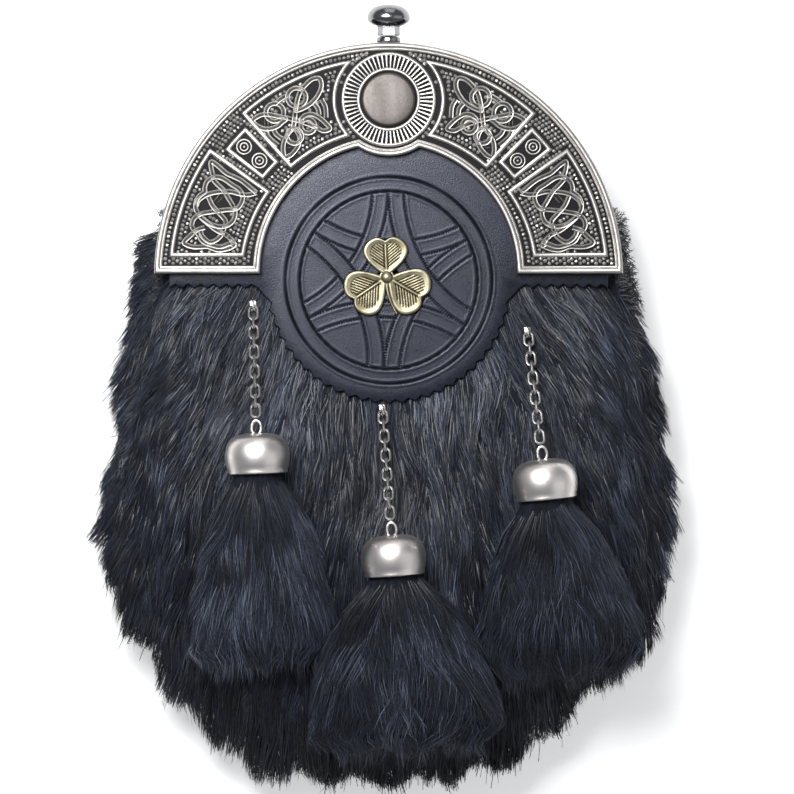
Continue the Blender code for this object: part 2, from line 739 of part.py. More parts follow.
def pinked(start, end, centre=None, radius=0.0):
    """Points of a pinked edge, straight or round, from start to end: a tooth and a notch for each pitch."""
    if centre is None:
        run = end - start
        teeth = max(round(run.length / TOOTH_PITCH), 1)
        out = Vector((run.y, -run.x)).normalized()
        points = [start + run * (i / (2 * teeth)) for i in range(2 * teeth + 1)]
        return [p + out * (TOOTH_DEPTH / 2 if i % 2 else -TOOTH_DEPTH / 2) for i, p in enumerate(points)]
    sweep = math.radians(end - start) * radius
    teeth = round(abs(sweep) / TOOTH_PITCH)
    points = []
    for i in range(2 * teeth + 1):
        reach = radius + (TOOTH_DEPTH / 2 if i % 2 else -TOOTH_DEPTH / 2)
        points.append(Vector(centre) + polar(reach, lerp(start, end, i / (2 * teeth))))
    return points


def build_front_flap():
    shoulder_y = -FLAP_SHOULDER
    corner = Vector((math.sqrt(FLAP_R**2 - FLAP_SHOULDER**2), shoulder_y))
    join = Vector((0, -LOBE_DOWN)) + polar(LOBE_R, LOBE_START)
    inner_corner = Vector((join.x + LOBE_NOTCH, shoulder_y))
    angle = math.degrees(math.asin(FLAP_SHOULDER / FLAP_R))
    points = arc((0, 0), FLAP_R, 180 + angle, -angle, 44)[1:-1]
    points += pinked(corner, inner_corner)
    points += pinked(LOBE_START - 2, -178 - LOBE_START, (0, -LOBE_DOWN), LOBE_R)
    points += pinked(Vector((-inner_corner.x, shoulder_y)), Vector((-corner.x, shoulder_y)))
    bm = bmesh.new()
    add_prism(bm, points, FLAP_Z, FLAP_TOP)
    finish_object("front_flap", bm, BLACK_LEATHER)


# Cantle


def cantle_path(inset):
    """The cantle's outline, drawn in by the inset: outer arc, foot, inner arc with the boss's plate."""
    outer, foot = CANTLE_R - inset, CANTLE_FOOT + inset
    inner, plate = CANTLE_INNER_R + inset, BOSS_PLATE_R - inset
    rise = BOSS_UP - CANTLE_INNER_UP
    meet_y = (rise**2 + inner**2 - plate**2) / (2 * rise)
    meet_x = math.sqrt(inner**2 - meet_y**2)
    outer_angle = math.degrees(math.asin(foot / outer))
    inner_angle = math.degrees(math.asin((foot - CANTLE_INNER_UP) / inner))
    meet_angle = math.degrees(math.atan2(meet_y, meet_x))
    plate_angle = math.degrees(math.atan2(meet_y - rise, meet_x))
    points = arc((0, 0), outer, outer_angle, 180 - outer_angle, 40)
    points += arc((0, CANTLE_INNER_UP), inner, 180 - inner_angle, 180 - meet_angle, 12)
    points += arc((0, BOSS_UP), plate, -180 - plate_angle, plate_angle, 8)[1:-1]
    points += arc((0, CANTLE_INNER_UP), inner, meet_angle, inner_angle, 12)
    return points


def beside_boss(radius):
    """The angle, seen from the cantle's centre, at which an arc of this radius clears the boss."""
    part = (radius**2 + BOSS_UP**2 - BOSS_CLEAR_R**2) / (2 * radius * BOSS_UP)
    return 90 - math.degrees(math.acos(part))


def upper_frame():
    """The upper panel's frame on the right: arcs along the cantle, an arc round the boss, a radial side."""
    side = UPPER_PANEL_SIDE
    outer_end, inner_end = beside_boss(PANEL_OUTER_R), beside_boss(PANEL_INNER_R)
    boss = Vector((0, BOSS_UP))
    start = polar(PANEL_OUTER_R, outer_end) - boss
    end = polar(PANEL_INNER_R, inner_end) - boss
    start_angle = math.degrees(math.atan2(start.y, start.x))
    end_angle = math.degrees(math.atan2(end.y, end.x))
    points = arc((0, 0), PANEL_OUTER_R, side, outer_end, 7)
    points += arc(boss, BOSS_CLEAR_R, start_angle, end_angle, 5)[1:-1]
    points += arc((0, 0), PANEL_INNER_R, inner_end, side, 5)
    return points


def lower_frame():
    side, foot = LOWER_PANEL_SIDE, LOWER_PANEL_FOOT
    points = arc((0, 0), PANEL_INNER_R, side, math.degrees(math.asin(foot / PANEL_INNER_R)), 5)
    points += arc((0, 0), PANEL_OUTER_R, math.degrees(math.asin(foot / PANEL_OUTER_R)), side, 6)
    return points


def block_frame():
    low, high = BLOCK_SIDES
    return arc((0, 0), BLOCK_OUTER_R, low, high, 2) + arc((0, 0), BLOCK_INNER_R, high, low, 2)


def knot_place(name):
    across, angle = KNOT_PLACES[name]
    return polar(lerp(PANEL_INNER_R, PANEL_OUTER_R, across), angle)


def petal(middle, direction, length):
    """A pointed loop from the knot's middle out to its tip and back."""
    along = polar(1, direction)
    across = Vector((-along.y, along.x))
    sides = []
    for side in (1, -1):
        for i in range(1, 5):
            t = i / 5
            wide = PETAL_WIDTH / 2 * math.sin(math.pi * t) ** 0.8
            sides.append((t, side * wide))
    points = [middle + along * length * 0.1]
    points += [middle + along * length * t + across * wide for t, wide in sides[:4]]
    points += [middle + along * length]
    points += [middle + along * length * t + across * wide for t, wide in reversed(sides[4:])]
    return points


def bowed_loop(*names):
    """A closed loop through places of a knot, with its sides bowed outwards."""
    corners = [knot_place(name) for name in names]
    points = []
    middle = sum(corners, Vector((0, 0))) / len(corners)
    for start, end in zip(corners, corners[1:] + corners[:1]):
        out = ((start + end) / 2 - middle).normalized()
        for t in (0, 0.25, 0.5, 0.75):
            points.append(start.lerp(end, t) + out * KNOT_BOW * math.sin(math.pi * t))
    return points


def ring_at(name, radius):
    return arc(knot_place(name), radius, 0, 360, 10)[:-1]


def mirrored(points):
    return [Vector((-p.x, p.y)) for p in points]


def build_cantle():
    bm = bmesh.new()
    add_prism(bm, cantle_path(0), CANTLE_Z, GROUND_Z)
    plate = finish_object("cantle", bm, ANTIQUE_NICKEL)

    base = GROUND_Z - 0.5
    lip = bmesh.new()
    angle = math.degrees(math.asin(CANTLE_FOOT / CANTLE_R))
    outer = arc((0, 0), CANTLE_R, angle, 180 - angle, 40)
    inner = arc((0, 0), CANTLE_R - CANTLE_LIP, 180 - angle, angle, 40)
    add_prism(lip, outer + inner, LIP_Z, CANTLE_Z + 0.5)
    boolean(plate, finish_object("cantle_lip", lip, ANTIQUE_NICKEL), "UNION")

    lines = bmesh.new()
    rim = flat_ridge(RIM_WIDTH, base, GROUND_Z + RIM_HEIGHT)
    add_ridge(lines, cantle_path(RIM_WIDTH / 2 + 0.05), rim, True)
    frame = sharp_ridge(FRAME_WIDTH, base, GROUND_Z + FRAME_HEIGHT)
    for shape in (upper_frame(), lower_frame(), block_frame()):
        add_ridge(lines, shape, frame, True)
        add_ridge(lines, mirrored(shape), frame, True)
    boss = (0, BOSS_UP)
    add_ridge(lines, arc(boss, BOSS_RING_R, 0, 360, 32)[:-1], frame, True)
    add_ridge(lines, arc(boss, BOSS_INNER_RING_R, 0, 360, 24)[:-1], frame, True)
    boolean(plate, finish_object("cantle_lines", lines, ANTIQUE_NICKEL), "UNION")

    knots = bmesh.new()
    strand = sharp_ridge(STRAND_WIDTH, base, GROUND_Z + STRAND_HEIGHT)
    for direction, share in PETALS:
        shape = petal(knot_place("upper middle"), direction, share * (PANEL_OUTER_R - PANEL_INNER_R))
        add_ridge(knots, shape, strand, True)
        add_ridge(knots, mirrored(shape), strand, True)
    boolean(plate, finish_object("cantle_upper_knots", knots, ANTIQUE_NICKEL), "UNION", crossing=True)

    more = bmesh.new()
    shapes = [bowed_loop("lower top", "lower left", "lower middle", "lower right")]
    shapes += [bowed_loop("foot left", "foot right", "lower middle")]
    shapes += [ring_at("lower middle", LOWER_RING_R), ring_at("upper middle", UPPER_RING_R)]
    shapes += [ring_at("block inner", BLOCK_RING_R), ring_at("block outer", BLOCK_RING_R)]
    for shape in shapes:
        add_ridge(more, shape, strand, True)
        add_ridge(more, mirrored(shape), strand, True)
    boolean(plate, finish_object("cantle_lower_knots", more, ANTIQUE_NICKEL), "UNION", crossing=True)

    rays = bmesh.new()
    for i in range(BOSS_RAYS):
        along = polar(1, 360 * (i + 0.5) / BOSS_RAYS)
        start, end = BOSS_INNER_RING_R + RAY_WIDTH / 2, BOSS_RING_R - RAY_WIDTH / 2
        path = [Vector(boss) + along * start, Vector(boss) + along * end]
        add_ridge(rays, path, sharp_ridge(RAY_WIDTH, base, GROUND_Z + RAY_HEIGHT), False)
    boolean(plate, finish_object("cantle_rays", rays, ANTIQUE_NICKEL), "UNION")

    disc = bmesh.new()
    profile = [(DISC_THICK * high, BOSS_DISC_R * wide) for high, wide in DISC_SECTION]
    add_lathe(disc, profile, 24, Matrix.Translation((*boss, GROUND_Z + GAP)))
    finish_object("cantle_disc", disc, SATIN_NICKEL, smooth=True)


def build_knob():
    up = (0, 1, 0)
    start = CANTLE_R + GAP
    collar = bmesh.new()
    profile = ((0, COLLAR_R), (0.7 * COLLAR_LENGTH, COLLAR_R), (COLLAR_LENGTH, 0.86 * COLLAR_R))
    add_lathe(collar, profile, 16, frame_at((0, start, KNOB_Z), up))
    finish_object("knob_collar", collar, DARK_NICKEL, smooth=True)
    knob = bmesh.new()
    start += COLLAR_LENGTH + GAP
    neck_r = NECK_ACROSS / 2 / math.cos(math.radians(30))
    add_lathe(knob, ((0, neck_r), (NECK_LENGTH + 0.5, neck_r)), 6, frame_at((0, start, KNOB_Z), up))
    body = finish_object("knob", knob, DARK_NICKEL, smooth=True)
    head = bmesh.new()
    profile = [(NECK_LENGTH + KNOB_HEAD * along, KNOB_R * wide) for along, wide in KNOB_SECTION]
    add_lathe(head, profile, 20, frame_at((0, start, KNOB_Z), up))
    boolean(body, finish_object("knob_head", head, DARK_NICKEL), "UNION")


# Shamrock badge


def heart(direction, size):
    """A leaf's outline from its point at the origin: two lobes and a notch at the far end."""
    along = polar(1, direction)
    across = Vector((-along.y, along.x))
    points = []
    for i in range(LEAF_POINTS):
        t = 2 * math.pi * i / LEAF_POINTS
        wide = 0.5 * LEAF_WIDTH * size * math.sin(t) * abs(math.sin(t)) ** 0.55
        far = LEAF_LENGTH * size * (0.5 - 0.5 * math.cos(t)) ** 0.72
        notch = 0.16 * LEAF_LENGTH * size * math.exp(-((math.pi - t) / 0.42) ** 2)
        points.append(along * (far - notch) + across * wide)
    return points


def build_shamrock():
    """Three crowned leaves and a stem on a small hub, with a bead over their meeting point."""
    seat = FLAP_TOP + GAP
    hub = bmesh.new()
    hub_r = BEAD_R + 0.5
    add_lathe(hub, ((0, hub_r), (0.9 * LEAF_THICK, hub_r)), 12, Matrix.Translation((0, 0, seat)))
    badge = finish_object("shamrock", hub, PALE_BRASS)
    for i, (direction, size) in enumerate(LEAVES):
        shape = heart(direction, size)
        centre = polar(0.5 * LEAF_LENGTH * size, direction)
        leaf = bmesh.new()
        inner = [centre + (p - centre) * 0.8 for p in shape]
        under = seat + 0.1 * LEAF_THICK
        rings = [[(p.x, p.y, under) for p in shape], [(p.x, p.y, seat + 0.6 * LEAF_THICK) for p in shape]]
        rings.append([(p.x, p.y, seat + LEAF_THICK) for p in inner])
        rows = add_grid(leaf, rings)
        add_cap(leaf, rows[0], (*centre, under))
        add_cap(leaf, rows[-1], (*centre, seat + 0.8 * LEAF_THICK))
        boolean(badge, finish_object(f"leaf_{i}", leaf, PALE_BRASS), "UNION")
    stem = bmesh.new()
    path = [Vector((0.34 * STEM_LENGTH * t**2, -STEM_LENGTH * t)) for t in (0, 0.3, 0.55, 0.8, 1.0)]
    add_ridge(stem, path, flat_ridge(STEM_WIDTH, seat + 0.2 * LEAF_THICK, seat + 0.7 * LEAF_THICK), False)
    boolean(badge, finish_object("stem", stem, PALE_BRASS), "UNION")
    bead = bmesh.new()
    profile = [(BEAD_R * math.sin(a), BEAD_R * math.cos(a)) for a in (0, 0.4, 0.8, 1.2)]
    add_lathe(bead, profile, 12, Matrix.Translation((0, 0, seat + LEAF_THICK + GAP)))
    finish_object("shamrock_bead", bead, PALE_BRASS, smooth=True)


# Chains, bells and tassels


def add_link(bm, frame):
    """A wire ring, longer than wide. The frame's Z is its length and its X is its width."""
    half, bend = (LINK_LENGTH - WIRE) / 2, (LINK_WIDTH - WIRE) / 2
    straight = half - bend
    path = []
    for i in range(LINK_SIDES):
        turn = 360 * (i + 0.5) / LINK_SIDES
        point = polar(bend, turn)
        path.append(Vector((point.x, 0, point.y + (straight if point.y > 0 else -straight))))
    rings = []
    for i, point in enumerate(path):
        way = (path[(i + 1) % LINK_SIDES] - path[i - 1]).normalized()
        out = way.cross(Vector((0, 1, 0)))
        ring = []
        for k in range(WIRE_SIDES):
            spot = polar(WIRE / 2, 360 * k / WIRE_SIDES)
            ring.append(frame @ (point + out * spot.x + Vector((0, 1, 0)) * spot.y))
        rings.append(ring)
    rows = add_grid(bm, rings)
    for k in range(WIRE_SIDES):
        m = (k + 1) % WIRE_SIDES
        bm.faces.new((rows[-1][k], rows[-1][m], rows[0][m], rows[0][k]))


def build_staple(name, place, way):
    """A wire arch over the first link's end, on a small plate on the hide."""
    side = Vector((-way.y, way.x, 0))
    along = Vector((way.x, way.y, 0))
    place = Vector((place.x, place.y, 0))
    seat = HIDE_Z + GAP
    span = 2 * WIRE + 2 * GAP + 0.1
    plate = bmesh.new()
    points = []
    for a, b in ((-1, -1), (1, -1), (1, 1), (-1, 1)):
        spot = place - along * span / 2 + along * a * (span / 2 + 0.6 * WIRE) + side * b * 1.2 * WIRE
        points.append(Vector((spot.x, spot.y)))
    add_prism(plate, points, seat, seat + 0.6)
    obj = finish_object("chain_staple_" + name, plate, ANTIQUE_NICKEL)
    wire = bmesh.new()
    top = CHAIN_Z + WIRE + GAP + 0.1
    path = [(0, seat + 0.3), (0, top - 0.5), (0.35, top)]
    path += [(span - back, height) for back, height in reversed(path)]
    rings = []
    for i, (back, height) in enumerate(path):
        before, after = path[max(i - 1, 0)], path[min(i + 1, len(path) - 1)]
        run = Vector((before[0] - after[0], after[1] - before[1])).normalized()
        out = along * run.y + Vector((0, 0, 1)) * -run.x
        centre = place - along * back + Vector((0, 0, height))
        ring = []
        for k in range(WIRE_SIDES):
            spot = polar(WIRE / 2, 360 * k / WIRE_SIDES)
            ring.append(centre + side * spot.x + out * spot.y)
        rings.append(ring)
    rows = add_grid(wire, rings)
    wire.faces.new(rows[0])
    wire.faces.new(rows[-1])
    boolean(obj, finish_object("staple_wire_" + name, wire, ANTIQUE_NICKEL), "UNION")


def build_chain(name, staple, way, bell_z):
    """Links that pass through each other, each turned by a quarter, from the staple to the bell's eye."""
    slope = math.asin((bell_z - CHAIN_Z) / CHAIN_LENGTH)
    run = Vector((way.x * math.cos(slope), way.y * math.cos(slope), math.sin(slope)))
    start = Vector((staple.x, staple.y, CHAIN_Z))
    first = LINK_LENGTH / 2 - 1.5 * WIRE - GAP
    for i in range(LINKS):
        place = start + run * (first + PITCH * i)
        frame = frame_at(place, run)
        if i % 2:
            frame = frame @ Matrix.Rotation(math.radians(90), 4, "Z")
        bm = bmesh.new()
        add_link(bm, frame)
        finish_object(f"link_{name}_{i + 1:02d}", bm, ANTIQUE_NICKEL, smooth=True)


def build_bell(name, eye, top, way, bell_z):
    along = Vector((way.x, way.y, 0))
    frame = frame_at((top.x, top.y, bell_z), along)
    bm = bmesh.new()
    outer = [(BELL_LENGTH * t, BELL_R * r) for t, r in BELL_SECTION]
    mouth = BELL_SECTION[-1][1] * BELL_R - 0.7 * BELL_WALL
    inner = [
        (BELL_LENGTH, mouth),
        (0.84 * BELL_LENGTH, 0.96 * BELL_R - BELL_WALL),
        (0.28 * BELL_LENGTH, 0.93 * BELL_R - BELL_WALL),
        (1.2 * BELL_WALL, 0.6 * BELL_R),
    ]
    add_lathe(bm, outer + inner, 14, frame)
    bell = finish_object("bell_" + name, bm, SATIN_NICKEL, smooth=True)
    loop = bmesh.new()
    loop_frame = frame_at((eye.x, eye.y, bell_z), along) @ Matrix.Rotation(math.radians(90), 4, "Z")
    add_link(loop, loop_frame)
    boolean(bell, finish_object("bell_eye_" + name, loop, ANTIQUE_NICKEL), "UNION")


def build_tassel(name, top, way, bell_z, length, width):
    """Locks of fur round a head that fills the bell: every second point of a ring is a lock's ridge."""
    along = Vector((way.x, way.y, 0))
    side = Vector((-way.y, way.x, 0))
    up = Vector((0, 0, 1))
    start = Vector((top.x, top.y, bell_z))
    head_r = BELL_SECTION[-1][1] * BELL_R - 0.7 * BELL_WALL - 2 * GAP
    rings = []
    head = ((0.22 * BELL_LENGTH, 0.72), (0.3 * BELL_LENGTH, 1.0), (BELL_LENGTH + GAP, 1.0))
    for far, part in head:
        turn = [polar(head_r * part, 360 * i / TASSEL_POINTS) for i in range(TASSEL_POINTS)]
        rings.append([start + along * far + side * spot.x + up * spot.y for spot in turn])
    for share, wide, thick in TASSEL_SECTION:
        half, high = width / 2 * wide, TASSEL_THICK * thick
        sink = lerp(0, BELL_R - high, smooth_step(share * 2)) + droop_at(share)
        ring = []
        for i in range(TASSEL_POINTS):
            ridge = i % 2 == 0
            spot = polar(1 if ridge else LOCK_VALLEY, 360 * i / TASSEL_POINTS)
            tip = share if share < 1 or ridge else TIP_NOTCH
            far = BELL_LENGTH + length * (tip - (TIP_ROUND * spot.x**2 if share == 1 else 0))
            ring.append(start + along * far + side * spot.x * half + up * (spot.y * high - sink))
        rings.append(ring)
    bm = bmesh.new()
    grid = add_grid(bm, rings)
    add_cap(bm, grid[0], start + along * 0.2 * BELL_LENGTH)
    middle = sum(rings[-1], Vector()) / TASSEL_POINTS
    add_cap(bm, grid[-1], middle - along * TIP_ROUND * length)
    finish_object("tassel_" + name, bm, NAVY_FUR, smooth=True)


build_pouch_front()
build_back_panel()
build_rear_flap()
build_belt_loops()
build_fur_pelt()
build_front_flap()
build_cantle()
build_knob()
build_shamrock()
for tassel in TASSELS:
    tassel_way, staple_at, eye_at, bell_at, _, bell_height = tassel_layout(tassel)
    build_staple(tassel[0], staple_at, tassel_way)
    build_chain(tassel[0], staple_at, tassel_way, bell_height)
    build_bell(tassel[0], eye_at, bell_at, tassel_way, bell_height)
    tassel_size = (tassel[4] * TASSEL_LENGTH, tassel[5] * TASSEL_WIDTH)
    build_tassel(tassel[0], bell_at, tassel_way, bell_height, *tassel_size)
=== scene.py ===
# %% [markdown]
# # A full dress sporran
# A sporran is the pouch of Highland dress. This one lies on its back: fur over a leather pouch, a cast metal
# arch called the cantle, a tooled leather flap with a shamrock, and three tassels on chains with bells.
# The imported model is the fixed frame, and each piece here is built at the size and place it has there.

# %% The frame
import math

import bmesh
import bpy
import numpy as np
from mathutils import Matrix, Vector
from mathutils.bvhtree import BVHTree
from mathutils.kdtree import KDTree


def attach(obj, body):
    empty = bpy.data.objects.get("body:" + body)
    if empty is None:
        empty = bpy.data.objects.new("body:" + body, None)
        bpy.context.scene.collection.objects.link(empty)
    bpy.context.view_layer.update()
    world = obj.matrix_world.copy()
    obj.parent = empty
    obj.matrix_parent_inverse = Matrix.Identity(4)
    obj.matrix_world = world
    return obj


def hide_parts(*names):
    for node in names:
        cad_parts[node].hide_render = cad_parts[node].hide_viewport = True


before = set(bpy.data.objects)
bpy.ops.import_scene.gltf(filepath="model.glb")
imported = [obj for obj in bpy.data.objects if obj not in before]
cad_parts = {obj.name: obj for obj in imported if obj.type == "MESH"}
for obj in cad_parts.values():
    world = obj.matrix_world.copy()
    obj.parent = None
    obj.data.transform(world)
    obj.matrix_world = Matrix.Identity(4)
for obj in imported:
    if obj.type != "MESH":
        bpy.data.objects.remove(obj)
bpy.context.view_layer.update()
scene = bpy.context.scene
random = np.random.default_rng(1822)
print("CAD nodes:", len(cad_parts))

# %% [markdown]
# Everything is drawn in millimetres about the centre of the cantle's arc, as its maker would draw it: X is
# across, Y is towards the knob and Z is out of the front. CENTRE_Y moves that centre to its place in the model.

# %% Shared sizes
MM = 0.001
CENTRE_Y = 38.25
CANTLE_R = 76.0
CANTLE_INNER_R = 41.5
CANTLE_INNER_UP = 1.6
CANTLE_FOOT = 1.0
BOSS_R = 18.5
BOSS_UP = 57.5
# heights above the floor, from the back of the pouch to the cantle's ground
BACK_Z = 7.3
FLAP_Z = 36.2
FLAP_TOP = 38.2
CANTLE_Z = 38.5
GROUND_Z = 41.0
LIP_Z = 34.2
print("the cantle across its feet, mm:", 2 * CANTLE_R)


def to_model(points):
    """Points in millimetres about the cantle's centre, as places in the model."""
    return (np.asarray(points, float) + (0, CENTRE_Y, 0)) * MM


def from_model(points):
    return np.asarray(points, float) / MM - (0, CENTRE_Y, 0)


def node_points(node):
    return from_model([v.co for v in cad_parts[node].data.vertices])


def node_tree(node):
    """A search tree over a CAD node's faces, in millimetres, for rays and nearest points."""
    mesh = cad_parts[node].data
    return BVHTree.FromPolygons([Vector(p) for p in node_points(node)], [tuple(f.vertices) for f in mesh.polygons])


# %% [markdown]
# ## Finishes
# A finish that looks real changes over the surface. Effects that several finishes share are node groups:
# recess_mask tells how high a point stands between a casting's ground and its raised lines, which is what
# polishing leaves bright, and fine_grain gives small irregular height and tone for leather and metal.

# %% Node helpers
def new_group(name, inputs, outputs):
    group = bpy.data.node_groups.new(name, "ShaderNodeTree")
    for label, kind, value in inputs:
        socket = group.interface.new_socket(label, in_out="INPUT", socket_type=kind)
        if value is not None:
            socket.default_value = value
    for label, kind in outputs:
        group.interface.new_socket(label, in_out="OUTPUT", socket_type=kind)
    return group, group.nodes.new("NodeGroupInput"), group.nodes.new("NodeGroupOutput")


def add_node(tree, kind, inputs=None, **settings):
    """A node with its settings and its inputs, each input a value or another node's output."""
    node = tree.nodes.new(kind)
    for name, value in settings.items():
        setattr(node, name, value)
    for name, value in (inputs or {}).items():
        if isinstance(value, bpy.types.NodeSocket):
            tree.links.new(value, node.inputs[name])
        else:
            node.inputs[name].default_value = value
    return node


def ramp(tree, value, stops):
    """A colour ramp from a value. Each stop is a place and a colour."""
    node = add_node(tree, "ShaderNodeValToRGB", {"Fac": value})
    while len(node.color_ramp.elements) < len(stops):
        node.color_ramp.elements.new(0.5)
    for element, (place, colour) in zip(node.color_ramp.elements, stops):
        element.position = place
        element.color = (*colour, 1)
    return node.outputs["Color"]


def mixed(tree, factor, first, second, blend="MIX"):
    node = add_node(tree, "ShaderNodeMix", data_type="RGBA", blend_type=blend)
    for name, value in (("Factor_Float", factor), ("A_Color", first), ("B_Color", second)):
        socket = next(s for s in node.inputs if s.identifier == name)
        if isinstance(value, bpy.types.NodeSocket):
            tree.links.new(value, socket)
        else:
            socket.default_value = value if name == "Factor_Float" else (*value, 1)
    return next(s for s in node.outputs if s.identifier == "Result_Color")


def maths(tree, operation, first, second=0.0):
    return add_node(tree, "ShaderNodeMath", {0: first, 1: second}, operation=operation).outputs[0]


def spread(tree, value, low, high, new_low=0.0, new_high=1.0):
    """Maps a range of a value to another, with its ends held."""
    inputs = {"Value": value, "From Min": low, "From Max": high, "To Min": new_low, "To Max": new_high}
    return add_node(tree, "ShaderNodeMapRange", inputs).outputs["Result"]


# %% Shared effects
def build_recess_mask():
    group, given, result = new_group(
        "recess_mask",
        [("Low", "NodeSocketFloat", 0.04), ("High", "NodeSocketFloat", 0.042)],
        [("Mask", "NodeSocketFloat")],
    )
    place = add_node(group, "ShaderNodeTexCoord").outputs["Object"]
    height = add_node(group, "ShaderNodeSeparateXYZ", {0: place}).outputs["Z"]
    patches = add_node(group, "ShaderNodeTexNoise", {"Vector": place, "Scale": 260, "Detail": 3}).outputs["Fac"]
    share = spread(group, height, given.outputs["Low"], given.outputs["High"])
    uneven = spread(group, patches, 0.25, 0.75, 0.6, 1.25)
    group.links.new(maths(group, "MULTIPLY", share, uneven), result.inputs["Mask"])
    return group


def build_fine_grain():
    group, given, result = new_group(
        "fine_grain",
        [("Scale", "NodeSocketFloat", 1000.0), ("Stretch", "NodeSocketVector", (1, 1, 1))],
        [("Height", "NodeSocketFloat"), ("Tone", "NodeSocketFloat")],
    )
    place = add_node(group, "ShaderNodeTexCoord").outputs["Object"]
    stretch = add_node(group, "ShaderNodeMapping", {"Vector": place, "Scale": given.outputs["Stretch"]})
    where = stretch.outputs["Vector"]
    fine = add_node(group, "ShaderNodeTexNoise", {"Vector": where, "Scale": given.outputs["Scale"], "Detail": 4})
    broad = add_node(group, "ShaderNodeTexNoise", {"Vector": where, "Scale": 45.0, "Detail": 3})
    group.links.new(fine.outputs["Fac"], result.inputs["Height"])
    group.links.new(broad.outputs["Fac"], result.inputs["Tone"])
    return group


RECESS_MASK = build_recess_mask()
FINE_GRAIN = build_fine_grain()
print("shared effects:", RECESS_MASK.name, FINE_GRAIN.name)


# %% [markdown]
# The metals share one recipe: a bright and a dark tone mixed by the recess mask, a grain that makes the
# polish uneven, and a slight bump. The antique finish is darkest in the recesses, where the stain stays.

# %% Metals
def new_finish(name, roughness, metallic, **fixed):
    """A material with its fixed values, its node tree and its shader."""
    finish = bpy.data.materials.new(name)
    finish.use_nodes = True
    tree = finish.node_tree
    shader = tree.nodes["Principled BSDF"]
    shader.inputs["Roughness"].default_value = roughness
    shader.inputs["Metallic"].default_value = metallic
    for label, value in fixed.items():
        shader.inputs[label.replace("_", " ")].default_value = value
    return finish, tree, shader


def grain_of(tree, scale, stretch=(1, 1, 1)):
    node = add_node(tree, "ShaderNodeGroup", node_tree=FINE_GRAIN)
    node.inputs["Scale"].default_value = scale
    node.inputs["Stretch"].default_value = stretch
    return node.outputs["Height"], node.outputs["Tone"]


def recess_mask_of(tree, low, high):
    """From 0 to 1, how high a point stands between two heights, which are given in millimetres."""
    node = add_node(tree, "ShaderNodeGroup", node_tree=RECESS_MASK)
    node.inputs["Low"].default_value = low * MM
    node.inputs["High"].default_value = high * MM
    return node.outputs["Mask"]


def bump(tree, shader, height, distance):
    node = add_node(tree, "ShaderNodeBump", {"Height": height, "Distance": distance, "Strength": 1.0})
    tree.links.new(node.outputs["Normal"], shader.inputs["Normal"])


# %% Each metal
METAL_GRAIN = 900
METAL_BUMP = 0.00002


def metal(name, stops, rough, low=None, high=None, stretch=(1, 1, 1)):
    """A metal whose tone follows the recess mask where low and high are given, and its grain elsewhere."""
    finish, tree, shader = new_finish(name, rough[0], 1.0)
    height, tone = grain_of(tree, METAL_GRAIN, stretch)
    if low is None:
        level = spread(tree, maths(tree, "ADD", height, tone), 0.7, 1.3)
    else:
        level = recess_mask_of(tree, low, high)
    tree.links.new(ramp(tree, level, stops), shader.inputs["Base Color"])
    tree.links.new(spread(tree, level, 0.0, 1.0, rough[1], rough[0]), shader.inputs["Roughness"])
    bump(tree, shader, height, METAL_BUMP)
    return finish


DARK_STAIN = (0.018, 0.018, 0.019)
CANTLE_METAL = metal(
    "antique_nickel_cast",
    [(0.0, DARK_STAIN), (0.25, (0.10, 0.098, 0.095)), (0.6, (0.34, 0.328, 0.315)), (1.0, (0.47, 0.450, 0.425))],
    (0.42, 0.62),
    GROUND_Z + 0.02,
    GROUND_Z + 0.5,
)
CHAIN_METAL = metal("chain_nickel", [(0.0, (0.36, 0.345, 0.33)), (1.0, (0.70, 0.68, 0.65))], (0.22, 0.36))
BELL_METAL = metal(
    "satin_nickel_brushed", [(0.0, (0.66, 0.62, 0.59)), (1.0, (0.84, 0.80, 0.77))], (0.33, 0.43), stretch=(1, 6, 6)
)
DISC_METAL = metal(
    "disc_nickel", [(0.0, (0.090, 0.081, 0.076)), (1.0, (0.122, 0.111, 0.105))], (0.42, 0.52), stretch=(6, 1, 1)
)
KNOB_METAL = metal("dark_nickel_polished", [(0.0, (0.20, 0.20, 0.21)), (1.0, (0.30, 0.30, 0.31))], (0.14, 0.22))
BRASS = metal(
    "antique_brass",
    [
        (0.0, (0.018, 0.012, 0.006)),
        (0.35, (0.11, 0.088, 0.048)),
        (0.8, (0.24, 0.215, 0.140)),
        (1.0, (0.35, 0.322, 0.225)),
    ],
    (0.46, 0.58),
    FLAP_TOP + 0.84,
    FLAP_TOP + 1.2,
)


# %% [markdown]
# Leather is dark navy, nearly black, with a fine pebbled grain that catches the light. Fur is coloured from a
# tone that every hair carries in its own attribute, so that each hair differs from its neighbours.
# The tone also holds painted shade and a painted highlight: hairs are darker towards their roots, low on the coat and
# just below each bell, and lighter near the flap.

# %% Leather, thread and fur
def leather(name, base, light, rough, grain_size, depth, low, high):
    """A leather of two near tones. It is plain above the height high, and dull and nearly black below low."""
    finish, tree, shader = new_finish(name, rough, 0.0, Specular_IOR_Level=0.38, Specular_Tint=(0.84, 0.87, 1.0, 1))
    height, tone = grain_of(tree, grain_size)
    place = add_node(tree, "ShaderNodeTexCoord").outputs["Object"]
    cells = add_node(tree, "ShaderNodeTexVoronoi", {"Vector": place, "Scale": grain_size * 1.6}).outputs["Distance"]
    mask = recess_mask_of(tree, low, high)
    worn = mixed(tree, spread(tree, tone, 0.35, 0.65), base, light)
    colour = mixed(tree, mask, (0.001, 0.001, 0.002), worn)
    tree.links.new(colour, shader.inputs["Base Color"])
    polish = spread(tree, height, 0.3, 0.7, rough - 0.07, rough + 0.1)
    dull = spread(tree, mask, 0.0, 0.6, 0.35, 0.0)
    tree.links.new(maths(tree, "ADD", polish, dull), shader.inputs["Roughness"])
    bump(tree, shader, maths(tree, "ADD", height, cells), depth)
    return finish


